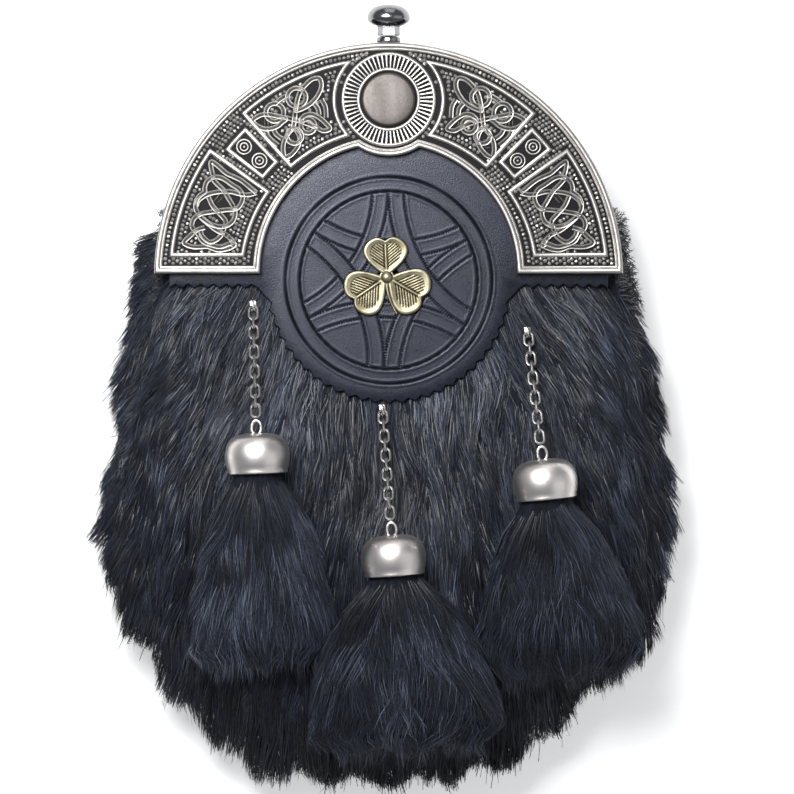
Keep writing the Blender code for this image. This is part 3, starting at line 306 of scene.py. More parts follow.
GROOVES = (FLAP_TOP - 0.22, FLAP_TOP - 0.05)
NO_GROOVES = (-3, -2)  # below the floor, so that nothing turns dull
FLAP_LEATHER = leather("flap_leather", (0.007, 0.008, 0.0145), (0.012, 0.014, 0.025), 0.32, 1900, 0.000028, *GROOVES)
BACK_LEATHER = leather("back_leather", (0.012, 0.013, 0.018), (0.022, 0.023, 0.030), 0.46, 800, 0.00007, *NO_GROOVES)
THREAD = leather("waxed_thread", (0.030, 0.031, 0.036), (0.055, 0.056, 0.062), 0.5, 2400, 0.00004, *NO_GROOVES)


def fur_finish(name, stops, roughness):
    finish, tree, shader = new_finish(name, roughness, 0.0, Specular_IOR_Level=0.5, Sheen_Weight=0.12)
    tone = add_node(tree, "ShaderNodeAttribute", attribute_name="tone").outputs["Fac"]
    place = add_node(tree, "ShaderNodeTexCoord").outputs["Object"]
    patches = add_node(tree, "ShaderNodeTexNoise", {"Vector": place, "Scale": 28.0, "Detail": 2}).outputs["Fac"]
    level = maths(tree, "MULTIPLY", tone, spread(tree, patches, 0.3, 0.7, 0.75, 1.25))
    tree.links.new(ramp(tree, level, stops), shader.inputs["Base Color"])
    return finish


HAIR_TONES = [
    (0.0, (0.001, 0.0014, 0.0032)),
    (0.5, (0.0100, 0.0145, 0.0285)),
    (0.82, (0.050, 0.064, 0.100)),
    (1.0, (0.13, 0.155, 0.21)),
]
HAIR = fur_finish("navy_hair", HAIR_TONES, 0.42)


def undercoat_finish():
    finish, tree, shader = new_finish("navy_undercoat", 0.8, 0.0, Specular_IOR_Level=0.2)
    height, tone = grain_of(tree, 700, (1, 0.15, 1))
    dark, light = (0.002, 0.003, 0.006), (0.008, 0.011, 0.020)
    tree.links.new(mixed(tree, spread(tree, height, 0.35, 0.65), dark, light), shader.inputs["Base Color"])
    bump(tree, shader, height, 0.0004)
    return finish


UNDERCOAT = undercoat_finish()
print("finishes:", len(bpy.data.materials))


# %% [markdown]
# ## Tools for shapes
# Most pieces here are one of three shapes: a section swept along a line, a turned shape, or a sheet whose
# points are moved to their place. Each starts from a bmesh operator, and finish_piece gives the result its
# finish, its body and the CAD nodes that it stands for.

# %% Shape helpers
def polar(radius, degrees):
    a = np.radians(degrees)
    return np.stack([radius * np.cos(a), radius * np.sin(a)], -1)


def arc(centre, radius, start, end, steps):
    return np.array(centre) + polar(radius, np.linspace(start, end, steps + 1))


def unit(vectors):
    return vectors / np.maximum(np.linalg.norm(vectors, axis=-1, keepdims=True), 1e-9)


def smooth_step(x):
    x = np.clip(x, 0, 1)
    return x * x * (3 - 2 * x)


# %% Sheets and sweeps
def add_sheet(bm, across, along, place):
    """A grid of faces whose points go to place(u, v), with u and v from 0 to 1."""
    made = bmesh.ops.create_grid(bm, x_segments=across, y_segments=along, size=0.5)["verts"]
    flat = np.array([v.co[:2] for v in made]) + 0.5
    for vert, spot in zip(made, place(flat[:, 0], flat[:, 1])):
        vert.co = spot


def add_rings(bm, rings, closed=True):
    """A skin over rings of points, whose last ring is joined to the first where it is closed."""
    count, sides = rings.shape[:2]
    across = count if closed else count - 1

    def place(u, v):
        return rings[np.rint(u * across).astype(int) % count, np.rint(v * sides).astype(int) % sides]

    add_sheet(bm, across, sides, place)


def add_sweep(bm, path, profile, closed=False, up=(0, 0, 1), swell=None):
    """A section swept along a path. The profile holds (across, rise), and swell scales it at each point."""
    path = np.asarray(path, float)
    if closed:
        before, after = np.roll(path, 1, 0), np.roll(path, -1, 0)
    else:
        before = np.vstack([2 * path[0] - path[1], path[:-1]])
        after = np.vstack([path[1:], 2 * path[-1] - path[-2]])
    into, out = unit(path - before), unit(after - path)
    run = unit(into + out)
    side = unit(np.cross(np.broadcast_to(up, run.shape), run))
    rise = np.cross(run, side)
    stretch = 1 / np.clip((run * into).sum(-1), 0.45, 1)
    profile = np.asarray(profile, float)
    swell = np.ones(len(path)) if swell is None else np.asarray(swell)
    rings = path[:, None] + side[:, None] * profile[:, :1][None] * (stretch * swell)[:, None, None]
    rings = rings + rise[:, None] * profile[:, 1:][None] * swell[:, None, None]
    if not closed:
        first, last = (np.repeat(path[end][None, None], len(profile), 1) for end in (0, -1))
        rings = np.concatenate([first, rings, last])
    add_rings(bm, rings, closed)


# %% Turned shapes, sections and edges
def add_lathe(bm, profile, steps, matrix):
    """A turned shape: the profile's (radius, along) spun round the matrix's Z axis."""
    earlier = set(bm.verts)
    verts = [bm.verts.new((radius, 0, along)) for radius, along in profile]
    edges = [bm.edges.new(pair) for pair in zip(verts, verts[1:])]
    full_turn = {"cent": (0, 0, 0), "axis": (0, 0, 1), "angle": math.tau, "steps": steps, "use_merge": True}
    bmesh.ops.spin(bm, geom=verts + edges, **full_turn)
    bmesh.ops.transform(bm, matrix=matrix, verts=[v for v in bm.verts if v not in earlier])


def round_profile(width, height, steps=7, sink=0.3):
    """A low arch, for a rim or a raised line, that reaches a little under the ground."""
    arch = [(-width / 2 * math.cos(a), height * math.sin(a)) for a in np.linspace(0, math.pi, steps)]
    return [(-width / 2, -sink)] + arch + [(width / 2, -sink)]


def circle_profile(radius, sides):
    return [(radius * math.cos(a), radius * math.sin(a)) for a in np.arange(sides) * math.tau / sides]


def round_edges(bm, edges, offset, segments):
    rounding = {"offset_type": "OFFSET", "profile": 0.5, "affect": "EDGES", "material": -1}
    bmesh.ops.bevel(bm, geom=edges, offset=offset, segments=segments, **rounding)


def with_height(points, height):
    return np.column_stack([points, np.full(len(points), height)])


def flat_tree(points):
    """A tree that finds the nearest of some flat points."""
    tree = KDTree(len(points))
    for k, (x, y) in enumerate(points):
        tree.insert((x, y, 0), k)
    tree.balance()
    return tree


# %% Finishing a piece
def link_object(name, data):
    made = bpy.data.objects.new(name, data)
    scene.collection.objects.link(made)
    return made


def finish_piece(name, bm, finish, nodes=(), smooth=40, merge=0.004):
    """Closes a bmesh in millimetres and makes it a piece of the model, with its finish and CAD nodes."""
    bmesh.ops.remove_doubles(bm, verts=bm.verts, dist=merge)
    bmesh.ops.dissolve_degenerate(bm, edges=bm.edges, dist=1e-5)
    bmesh.ops.recalc_face_normals(bm, faces=bm.faces)
    bmesh.ops.transform(bm, matrix=Matrix.Translation((0, CENTRE_Y, 0)), verts=bm.verts)
    bmesh.ops.scale(bm, vec=(MM, MM, MM), verts=bm.verts)
    mesh = bpy.data.meshes.new(name)
    bm.to_mesh(mesh)
    bm.free()
    if smooth:
        mesh.shade_smooth()
        mesh.set_sharp_from_angle(angle=math.radians(smooth))
    add_piece(name, mesh, finish, nodes)


def add_piece(name, mesh, finish, nodes=()):
    mesh.materials.clear()
    mesh.materials.append(finish)
    piece = link_object(name, mesh)
    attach(piece, "root")
    if nodes:
        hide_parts(*nodes)
    mesh.calc_loop_triangles()
    print(f"{name}: {len(mesh.loop_triangles)} triangles")


# %% [markdown]
# ## The fur
# The pelt is long goat hair combed outwards and down. Real hair is far too fine to model one by one at full
# count, so some seventy thousand broader hairs lie in several layers over a dark undercoat. Each hair starts
# inside the coat, follows the lie of the fur, and ends in a point. Hairs that start near each other lean
# together into locks. The points are worked out as arrays, because no single operator makes bent hairs.

# %% The coat's surface
GRID_STEP = 1.25
GRID_LOW = np.array([-112.0, -180.0])
GRID_SIZE = (180, 212)
EDGE_FALL = 0.55  # how steeply hair hangs past the outline
LOWEST_HAIR = 1.5
RAY_START = 90  # above everything, so that a ray going down meets the top first


def pelt_heights():
    """The coat's height over a flat grid, and the distance of each cell inside its outline."""
    tree = node_tree("fur_pelt")
    heights = np.full(GRID_SIZE, np.nan)
    for i in range(GRID_SIZE[0]):
        for j in range(GRID_SIZE[1]):
            x, y = GRID_LOW + (i * GRID_STEP, j * GRID_STEP)
            hit = tree.ray_cast(Vector((x, y, RAY_START)), Vector((0, 0, -1)))[0]
            if hit is not None:
                heights[i, j] = hit.z
    inside = ~np.isnan(heights)
    edge = inside & ~(
        np.roll(inside, 1, 0) & np.roll(inside, -1, 0) & np.roll(inside, 1, 1) & np.roll(inside, -1, 1)
    )
    spots = np.argwhere(edge)
    near = flat_tree(spots)
    depth = np.zeros(GRID_SIZE)
    for i in range(GRID_SIZE[0]):
        for j in range(GRID_SIZE[1]):
            _, k, far = near.find((i, j, 0))
            depth[i, j] = far * GRID_STEP * (1 if inside[i, j] else -1)
            if not inside[i, j]:
                heights[i, j] = max(heights[tuple(spots[k])] - EDGE_FALL * far * GRID_STEP, LOWEST_HAIR)
    return heights, depth


def sample(grid, points):
    """A grid's values at flat points, blended between its cells."""
    place = np.clip((points - GRID_LOW) / GRID_STEP, 0, np.array(GRID_SIZE) - 1.001)
    low = place.astype(int)
    f = place - low
    i, j = low[..., 0], low[..., 1]
    a, b = f[..., 0], f[..., 1]
    near_row = grid[i, j] * (1 - a) + grid[i + 1, j] * a
    far_row = grid[i, j + 1] * (1 - a) + grid[i + 1, j + 1] * a
    return near_row * (1 - b) + far_row * b


def blurred(grid, times):
    for _ in range(times):
        grid = (grid + np.roll(grid, 1, 0) + np.roll(grid, -1, 0) + np.roll(grid, 1, 1) + np.roll(grid, -1, 1)) / 5
    return grid


pelt_height, pelt_depth = pelt_heights()
coat_height = blurred(pelt_height, 2)
print("coat height, mm:", round(float(np.nanmin(coat_height)), 1), "to", round(float(np.nanmax(coat_height)), 1))

# %% [markdown]
# The tassels and chains press the coat down, and it comes out from under the flap, so the hair has less
# freedom to rise there. Their places are read from the CAD nodes.

# %% Where the coat is pressed
TASSEL_NAMES = ("left", "centre", "right")
BELL_LENGTH = 13.0
HEADINGS = {"left": 2.0, "centre": 4.2, "right": 5.8}  # degrees from straight down
LOBE = np.array([0.0, -1.0])
LOBE_R = 39.4
SHOULDER_Y = -2.9


def line_distance(points, start, end):
    run = end - start
    along = np.clip(((points - start) @ run) / (run @ run), 0, 1)
    return np.linalg.norm(points - start - along[..., None] * run, axis=-1)


def trunk_of(name):
    """A tassel's axis, flat: its start beside the staple, its way, and where the bell and the tip are along it."""
    staple = node_points("chain_staple_" + name).mean(0)[:2]
    bell = node_points("bell_" + name)
    tassel = node_points("tassel_" + name)
    way = polar(1, HEADINGS[name] - 90)
    middle = (bell.max(0) + bell.min(0))[:2] / 2
    start = middle - way * ((middle - staple) @ way)
    along = (bell[:, :2] - start) @ way
    return {
        "staple": start,
        "way": way,
        "bell_start": along.max() - BELL_LENGTH,
        "bell_end": along.max(),
        "bell_z": (bell[:, 2].max() + bell[:, 2].min()) / 2,
        "tip": ((tassel[:, :2] - start) @ way).max(),
    }


trunks = {name: trunk_of(name) for name in TASSEL_NAMES}
for name, trunk in trunks.items():
    print(f"{name} tassel: bell at {trunk['bell_start']:.1f} and tip at {trunk['tip']:.1f} mm from the staple")


def freedom(points):
    """How freely the hair rises at flat points, from 0 where it is pressed to 1."""
    past_lobe = np.linalg.norm(points - LOBE, axis=-1) - LOBE_R - 1.0
    past_flap = np.minimum(SHOULDER_Y - 1.5 - points[..., 1], past_lobe)
    outside = np.linalg.norm(points, axis=-1) - CANTLE_R
    free = np.clip(np.maximum(past_flap / 9, outside / 5), 0, 1)
    for trunk in trunks.values():
        bell = trunk["staple"] + trunk["way"] * trunk["bell_start"]
        tip = trunk["staple"] + trunk["way"] * (trunk["tip"] - 8)
        free = np.minimum(free, np.clip((line_distance(points, trunk["staple"], bell) - 2.5) / 6, 0, 1))
        free = np.minimum(free, np.clip((line_distance(points, bell, tip) - 12) / 8, 0.15, 1))
    return free


# %% [markdown]
# The lie of the coat: straight down in the middle, and turned outwards more and more towards the sides and
# the shoulders. Broad, slow waves keep the locks from looking combed by a machine.

# %% The lie of the hair
def wave(points, scale, seed):
    """A slow random wave over flat points, from about -1 to 1."""
    parts = np.random.default_rng(seed)
    total = np.zeros(points.shape[:-1])
    for _ in range(5):
        way = parts.normal(size=2)
        way /= np.linalg.norm(way) * scale * parts.uniform(0.6, 1.6)
        total += np.sin((points @ way) * math.tau + parts.uniform(0, math.tau))
    return total / 2.2


def lie_angle(points):
    """The hair's angle from straight down, in radians."""
    x, y = points[..., 0], points[..., 1]
    fan = np.interp(y, (-150, -120, -60, -20, 5, 15), (6, 10, 22, 30, 42, 52))
    turn = fan * np.clip(x / 62, -1.15, 1.15)
    return np.radians(turn + 7 * wave(points, 42, 5) + 4 * wave(points, 17, 6))


def way_at(points, lean):
    angle = lie_angle(points) + lean
    return np.stack([np.sin(angle), -np.cos(angle)], -1)


# %% Growing the coat
HAIR_STEPS = 4


def pelt_faces():
    """The corners, the normals and the sizes of the CAD pelt's faces."""
    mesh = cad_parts["fur_pelt"].data
    corners = node_points("fur_pelt")[np.array([f.vertices[:3] for f in mesh.polygons])]
    normal = np.cross(corners[:, 1] - corners[:, 0], corners[:, 2] - corners[:, 0])
    return corners, normal, np.linalg.norm(normal, axis=1)


def places_on_faces(corners, weight, count):
    """Random faces, by their weight, and a random place on each."""
    pick = random.choice(len(corners), count, p=weight / weight.sum())
    a, b = np.sqrt(random.random(count)), random.random(count)
    shares = ((1 - a)[:, None], (a * (1 - b))[:, None], (a * b)[:, None])
    first, second, third = (corners[pick][:, k] * share for k, share in enumerate(shares))
    return pick, first + second + third


def hair_roots(count):
    """Random places over the outer side of the pelt, even over its surface."""
    corners, normal, area = pelt_faces()
    weight = area * (normal[:, 2] > 0.12 * area) * (corners[:, :, 2].mean(1) > 15)
    return places_on_faces(corners, weight, count)[1]


def nearest_seed(points, seeds):
    tree = flat_tree(seeds)
    return np.array([tree.find((x, y, 0))[1] for x, y in points])


# %% Trimming the ends
# how far the ends reach further out on each side, by the distance below the cantle's centre
REACH_DOWN = (8, 20, 33, 46, 59, 72, 85, 98, 111, 124, 137, 150, 158)
LEFT_REACH = (2.8, 6.5, 1.2, -3.2, 2.4, 7.0, 1.2, 4.5, 0.0, 7.5, 6.0, 9.0, 0.5)
RIGHT_REACH = (-2.4, 3.5, 3.0, -1.3, 2.2, 3.4, 1.6, 5.0, 9.0, 1.0, 0.5, 3.0, -1.0)


def trim_at(points):
    """How short the ends are cut at the outline. The real fur is uneven, and longer on the left."""
    x, y = points[..., 0], points[..., 1]
    left = smooth_step((-20 - x) / 20) * np.interp(-y, REACH_DOWN, LEFT_REACH)
    right = smooth_step((x - 22) / 20) * np.interp(-y, REACH_DOWN, RIGHT_REACH)
    return -0.3 - 0.4 * smooth_step((-y - 120) / 25) - left - right


def coat_paths(roots, length, lean, bend, rise):
    """Each hair's points: it follows the lie of the coat and stops soon after it passes the outline."""
    over = random.exponential(1.3, len(roots)) + 0.8 * (1 + wave(roots, 9, 8)) - trim_at(roots)
    spots = [roots]
    step = (length / (HAIR_STEPS - 1))[:, None]
    for k in range(HAIR_STEPS - 1):
        here = spots[-1]
        room = np.clip((sample(pelt_depth, here) + over) / 5, 0.03, 1)[:, None]
        spots.append(here + way_at(here, lean + bend * (k - 1)) * step * room)
    flat = np.stack(spots, 1)
    s = np.linspace(0, 1, HAIR_STEPS)[None]
    free = freedom(flat)
    layer = random.uniform(0.04, 0.36, len(roots))[:, None] * (0.5 + 0.5 * free)
    sunk = 3.6 * (1 - s) ** 2.2 * free
    lift = rise[:, None] * np.sin(np.pi * np.clip(s * 0.9, 0, 1)) ** 0.8 * free
    return np.concatenate([flat, (sample(coat_height, flat) - sunk + layer + lift)[..., None]], -1)


def keep_root(roots):
    """Leaves out roots that the flap and the cantle hide."""
    x, y = roots[:, 0], roots[:, 1]
    under_lobe = np.hypot(x, y + 1.0) < LOBE_R - 13
    under_shoulder = (y > SHOULDER_Y + 12) & (np.hypot(x, y) < CANTLE_R - 7)
    return ~(under_lobe | under_shoulder | (y > 16))


# %% Locks and hairs
def gather(paths, owner, count, pull):
    """Draws the ends of the hairs towards the middle of their lock."""
    total = np.zeros((count, *paths.shape[1:]))
    np.add.at(total, owner, paths)
    size = np.bincount(owner, minlength=count).clip(1)[:, None, None]
    middle = (total / size)[owner]
    s = np.linspace(0, 1, paths.shape[1])[None, :, None] ** 1.4
    drawn = paths + (middle - paths) * s * pull
    drawn[..., 2] = paths[..., 2]
    return drawn


def ribbons(paths, width, roll, taper):
    """Flat hairs along the paths: two points across at each step but the last, where they end in one."""
    run = unit(np.gradient(paths, axis=1))
    flat_side = unit(np.cross(run, np.array([0.0, 0.0, 1.0])))
    upright = np.cross(flat_side, run)
    side = flat_side * np.cos(roll)[:, None, None] + upright * np.sin(roll)[:, None, None]
    half = (width[:, None] * taper[None])[..., None] / 2
    return paths - side * half, paths + side * half


# how wide and how bright a hair is along its length, from its root to its tip; the dark root is painted shade deep in
# the coat
HAIR_TAPER = ((0, 0.35, 0.75, 1), (0.8, 1.0, 0.7, 0.0))
HAIR_ROOT_SHADE = ((0, 0.4, 1), (0.18, 0.88, 1.15))


def hair_mesh(name, paths, width, roll, tone):
    count, steps = paths.shape[:2]
    taper = np.interp(np.linspace(0, 1, steps), *HAIR_TAPER)
    left, right = ribbons(paths, width, roll, taper)
    body = np.stack([left[:, :-1], right[:, :-1]], 2).reshape(count, -1, 3)
    points = np.concatenate([body, paths[:, -1:]], 1)
    per = points.shape[1]
    quads = np.array([(2 * k, 2 * k + 1, 2 * k + 3, 2 * k + 2) for k in range(steps - 2)])
    tip = np.array([(2 * steps - 4, 2 * steps - 3, 2 * steps - 2)])
    base = (np.arange(count) * per)[:, None, None]
    loops = np.concatenate([(base + quads[None]).reshape(count, -1), (base + tip[None]).reshape(count, -1)], 1)
    sizes = np.tile([4] * (steps - 2) + [3], count)
    mesh = bpy.data.meshes.new(name)
    mesh.vertices.add(count * per)
    mesh.vertices.foreach_set("co", to_model(points.reshape(-1, 3)).astype(np.float32).ravel())
    mesh.loops.add(loops.size)
    mesh.loops.foreach_set("vertex_index", loops.ravel().astype(np.int32))
    mesh.polygons.add(len(sizes))
    mesh.polygons.foreach_set("loop_start", np.concatenate([[0], np.cumsum(sizes)[:-1]]).astype(np.int32))
    mesh.update(calc_edges=True)
    shade = mesh.attributes.new("tone", "FLOAT", "POINT")
    along = np.interp(np.linspace(0, 1, steps), *HAIR_ROOT_SHADE)
    values = tone[:, None] * np.append(np.repeat(along[:-1], 2), along[-1])[None]
    shade.data.foreach_set("value", np.clip(values, 0, 1).astype(np.float32).ravel())
    mesh.shade_smooth()
    return mesh


# %% [markdown]
# The coat is grown once and then split into bands from side to side, so that no piece holds too many faces.
# The first band stands for the pelt of the CAD model, and the undercoat below them is the pelt's own shape.

# %% The pelt
COAT_HAIRS = 71000
COAT_LOCKS = 1500
COAT_LENGTH = (15, 27)
COAT_WIDTH = (0.15, 0.30)
COAT_TONE = 0.39
WIDER = 1.0


def grow_coat():
    roots = hair_roots(int(COAT_HAIRS * 1.35))[:, :2]
    roots = roots[keep_root(roots)][:COAT_HAIRS]
    count = len(roots)
    seeds = roots[random.choice(count, COAT_LOCKS, replace=False)]
    owner = nearest_seed(roots, seeds)
    lock_lean = random.normal(0, 0.13, COAT_LOCKS)
    lock_bend = random.normal(0, 0.05, COAT_LOCKS)
    lock_tone = random.normal(0, 0.15, COAT_LOCKS)
    lock_rise = random.uniform(0.0, 1.0, COAT_LOCKS)
    length = random.uniform(*COAT_LENGTH, count)
    lean = lock_lean[owner] + random.normal(0, 0.07, count)
    rise = 0.3 + 1.5 * lock_rise[owner] + random.exponential(0.55, count)
    paths = coat_paths(roots, length, lean, lock_bend[owner] + random.normal(0, 0.03, count), rise)
    paths = gather(paths, owner, COAT_LOCKS, 0.45)
    # The coat is painted lighter near the flap, as a painted highlight, and darker towards the bottom, as painted
    # shade.
    near_flap_highlight = np.exp(-np.clip(np.linalg.norm(roots - LOBE, axis=1) - LOBE_R, 0, None) / 11)
    low = smooth_step((-roots[:, 1] - 100) / 40)
    tone = COAT_TONE + 0.12 * near_flap_highlight - 0.24 * low + lock_tone[owner] + random.normal(0, 0.17, count)
    width = random.uniform(*COAT_WIDTH, count) * WIDER
    return paths, width, random.normal(0, 0.75, count), np.clip(tone, 0.05, 1)


def add_undercoat(name, node):
    """A copy of a CAD node's shape, smoothed once, as the dense dark hair under the long one."""
    bm = bmesh.new()
    bm.from_mesh(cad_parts[node].data)
    bmesh.ops.remove_doubles(bm, verts=bm.verts, dist=1e-6)
    bmesh.ops.subdivide_edges(bm, edges=bm.edges, cuts=1, use_grid_fill=True)
    bmesh.ops.smooth_vert(bm, verts=bm.verts, factor=0.5, use_axis_x=True, use_axis_y=True, use_axis_z=True)
    mesh = bpy.data.meshes.new(name)
    bm.to_mesh(mesh)
    bm.free()
    mesh.shade_smooth()
    add_piece(name, mesh, UNDERCOAT, [node])


add_undercoat("pelt_undercoat", "fur_pelt")
coat, coat_width, coat_roll, coat_tone = grow_coat()
bands = np.digitize(coat[:, 0, 0], (-52, -20, 20, 52))
for band in range(5):
    chosen = bands == band
    mesh = hair_mesh(f"pelt_hair_{band + 1}", coat[chosen], coat_width[chosen], coat_roll[chosen], coat_tone[chosen])
    add_piece(f"pelt_hair_{band + 1}", mesh, HAIR)

# %% [markdown]
# The pouch's side is covered too: shorn short round the top, where the cantle's lip covers its edge, and longer
# lower down. These hairs start from the side of the CAD pelt, stand off it a little and point down to the border.

# %% The side
SIDE_HAIRS = 14500
SIDE_LENGTH = (4, 8)
SIDE_WIDTH = (0.2, 0.36)
SIDE_TONE = 0.36
SIDE_LOW = BACK_Z + 2.6  # the hairs stay above the sewn border


def grow_side():
    """Short hairs on the faces of the pelt that stand up from the border, or lie beside the cantle's foot."""
    corners, normal, area = pelt_faces()
    middle = corners.mean(1)
    outward = (normal[:, :2] * middle[:, :2]).sum(1) > 0
    far = np.hypot(*middle[:, :2].T)
    upper = (middle[:, 1] > -2) & (far > 50) & (far < CANTLE_R)
    corner = (middle[:, 1] > -8) & (middle[:, 1] < 15) & (far > 73)
    side = corner | (upper & (normal[:, 2] < 0.75 * area)) | ((middle[:, 1] <= -2) & (normal[:, 2] < 0.45 * area))
    weight = area * outward * side * (normal[:, 2] > -0.5 * area)
    pick, root = places_on_faces(corners, weight, SIDE_HAIRS)
    out = normal[pick] / area[pick][:, None]
    along = unit(np.cross(out, (0.0, 0.0, 1.0)))
    down = np.cross(out, along)
    down = down * -np.sign(down[:, 2:])
    low = smooth_step((-2 - root[:, 1]) / 14)
    combed = np.column_stack([way_at(root[:, :2], np.zeros(SIDE_HAIRS)), np.zeros(SIDE_HAIRS)])
    way = down + along * random.normal(0, 0.3, SIDE_HAIRS)[:, None] + combed * 0.9 * low[:, None]
    room = np.clip(1.3 * (root[:, 2] - BACK_Z - 3), 1.5, None)
    reach = np.minimum(random.uniform(*SIDE_LENGTH, SIDE_HAIRS) + 4 * low, room)
    s = np.linspace(0, 1, HAIR_STEPS)[None, :, None]
    off = 0.9 * np.sin(np.pi * np.clip(s * 0.85, 0, 1)) * random.uniform(0.5, 1.3, SIDE_HAIRS)[:, None, None]
    paths = root[:, None] + unit(way)[:, None] * reach[:, None, None] * s + out[:, None] * (off + 0.08)
    paths[..., 2] = np.maximum(paths[..., 2], SIDE_LOW)
    tone = np.clip(SIDE_TONE + random.normal(0, 0.16, SIDE_HAIRS), 0.05, 1)
    width = random.uniform(*SIDE_WIDTH, SIDE_HAIRS) * 1.0
    return hair_mesh("side_hair", paths, width, random.normal(0, 0.7, SIDE_HAIRS), tone)


add_piece("side_hair", grow_side(), HAIR)

# %% [markdown]
# ## The tassels
# Each tassel is a bundle of hair held in its bell, which flares and fluffs out below it. Rays across the CAD
# tassel give its width and thickness along its length, and the hairs follow that form from the bell to the tip.

# %% Tassel form and hair
TASSEL_HAIRS = 13800
TASSEL_SAMPLES = 26
TASSEL_LOCKS = 190
TASSEL_LENGTH = (14, 26)
TASSEL_WIDTH = (0.14, 0.27)
TASSEL_TONE = 0.41
TASSEL_ROUND = 40  # millimetres round a tassel, over which its locks are spread


def tassel_form(name):
    """Half width, middle height and half thickness along a tassel, measured on its CAD node by rays."""
    tree = node_tree("tassel_" + name)
    trunk = trunks[name]
    way = Vector((*trunk["way"], 0))
    side = Vector((-way.y, way.x, 0))
    places = np.linspace(trunk["bell_end"] + 0.5, trunk["tip"] - 6.5, TASSEL_SAMPLES)
    rows = []
    for far in places:
        middle = Vector((*trunk["staple"], 0)) + way * far
        top = tree.ray_cast(middle + Vector((0, 0, RAY_START)), Vector((0, 0, -1)))[0]
        low = tree.ray_cast(middle - Vector((0, 0, 10)), Vector((0, 0, 1)))[0]
        if top is None or low is None:
            rows.append(rows[-1])
            continue
        centre = Vector((middle.x, middle.y, (top.z + low.z) / 2))
        hits = [tree.ray_cast(centre + side * s * 60, side * -s)[0] for s in (-1, 1)]
        half = [(h - centre).length if h else 8 for h in hits]
        rows.append((sum(half) / 2, centre.z, (top.z - low.z) / 2))
    return places, np.array(rows)


def grow_tassel(name):
    trunk = trunks[name]
    places, rows = tassel_form(name)
    count = TASSEL_HAIRS
    total = places[-1] - places[0]
    start = places[0] + total * np.clip(random.beta(0.8, 1.5, count), 0, 0.93) - 2.5
    around = random.uniform(0, math.tau, count)
    length = random.uniform(*TASSEL_LENGTH, count)
    seeds = [random.uniform(places[0], places[-1], TASSEL_LOCKS), random.uniform(0, TASSEL_ROUND, TASSEL_LOCKS)]
    owner = nearest_seed(np.column_stack([start, around * TASSEL_ROUND / math.tau]), np.column_stack(seeds))
    longest = trunk["tip"] - 3 + random.normal(0, 3.0, TASSEL_LOCKS)[owner] + random.normal(0, 1.6, count)
    end = np.minimum(start + length, longest)
    lean = random.normal(0, 0.16, TASSEL_LOCKS)[owner] + random.normal(0, 0.08, count)
    sway = random.normal(0, 1.1, TASSEL_LOCKS)[owner]
    s = np.linspace(0, 1, HAIR_STEPS)[None]
    far = start[:, None] + (end - start)[:, None] * s
    half, middle, thick = (np.interp(far, places, rows[:, k]) for k in range(3))
    past = np.clip(far - places[-1], 0, None)
    half, middle, thick = half + 0.18 * past, middle - 0.25 * past, thick * np.exp(-past / 14)
    fluff = random.uniform(0.0, 1.0, count) + 0.8 * random.random(TASSEL_LOCKS)[owner]
    out = 0.80 + 0.20 * np.minimum(s * 2.2, 1) + (0.02 + 0.10 * fluff[:, None]) * s
    turn = around[:, None] + lean[:, None] * s * np.sign(np.cos(around))[:, None]
    way = np.array([*trunk["way"], 0])
    side = np.array([-way[1], way[0], 0])
    base = np.array([*trunk["staple"], 0])
    paths = base + way * far[..., None] + side * (np.cos(turn) * half * out + sway[:, None] * s**2)[..., None]
    paths[..., 2] += middle + np.sin(turn) * (thick * out + 0.35 * fluff[:, None] * s)
    paths = gather(paths, owner, TASSEL_LOCKS, 0.35)
    tone = TASSEL_TONE + random.normal(0, 0.15, TASSEL_LOCKS)[owner] + random.normal(0, 0.27, count)
    # Hairs that start close to the bell are painted darker, as painted shade under the bell's mouth.
    tone = tone * (0.68 + 0.32 * smooth_step((start - places[0] + 2) / 14))
    width = random.uniform(*TASSEL_WIDTH, count) * WIDER
    return hair_mesh("tassel_hair_" + name, paths, width, random.normal(0, 0.8, count), np.clip(tone, 0.05, 1))


for name in TASSEL_NAMES:
    add_undercoat("tassel_core_" + name, "tassel_" + name)
    add_piece("tassel_hair_" + name, grow_tassel(name), HAIR)

# %% [markdown]
# ## The cantle
# The cantle is one casting: an arched plate with a rolled rim, three framed panels on each side, knots in low
# relief and a ground of small pebbles. Casting keeps all of it in one piece of metal, and stain left in the
# ground makes the lines stand out. The plate comes first, as an outline that is extruded.

# %% The plate and its lip
LIP_WIDTH = 1.8


def cantle_path(inset):
    """The cantle's outline, drawn in by the inset: outer arc, foot, inner arc with the boss's plate."""
    outer, foot = CANTLE_R - inset, CANTLE_FOOT + inset
    inner, plate = CANTLE_INNER_R + inset, BOSS_R - inset
    rise = BOSS_UP - CANTLE_INNER_UP
    meet_y = (rise**2 + inner**2 - plate**2) / (2 * rise)
    meet_x = math.sqrt(inner**2 - meet_y**2)
    outer_angle = math.degrees(math.asin(foot / outer))
    inner_angle = math.degrees(math.asin((foot - CANTLE_INNER_UP) / inner))
    meet_angle = math.degrees(math.atan2(meet_y, meet_x))
    plate_angle = math.degrees(math.atan2(meet_y - rise, meet_x))
    inner_middle = (0, CANTLE_INNER_UP)
    return np.vstack(
        [
            arc((0, 0), outer, outer_angle, 180 - outer_angle, 160),
            arc(inner_middle, inner, 180 - inner_angle, 180 - meet_angle, 48),
            arc((0, BOSS_UP), plate, -180 - plate_angle, plate_angle, 36)[1:-1],
            arc(inner_middle, inner, meet_angle, inner_angle, 48),
        ]
    )


def add_plate(bm, outline, low, high):
    """A flat plate: its outline as one face, extruded upwards."""
    face = bm.faces.new([bm.verts.new((x, y, low)) for x, y in outline])
    made = bmesh.ops.extrude_face_region(bm, geom=[face], use_keep_orig=True)["geom"]
    raised = [v for v in made if isinstance(v, bmesh.types.BMVert)]
    bmesh.ops.translate(bm, vec=(0, 0, high - low), verts=raised)
    return raised


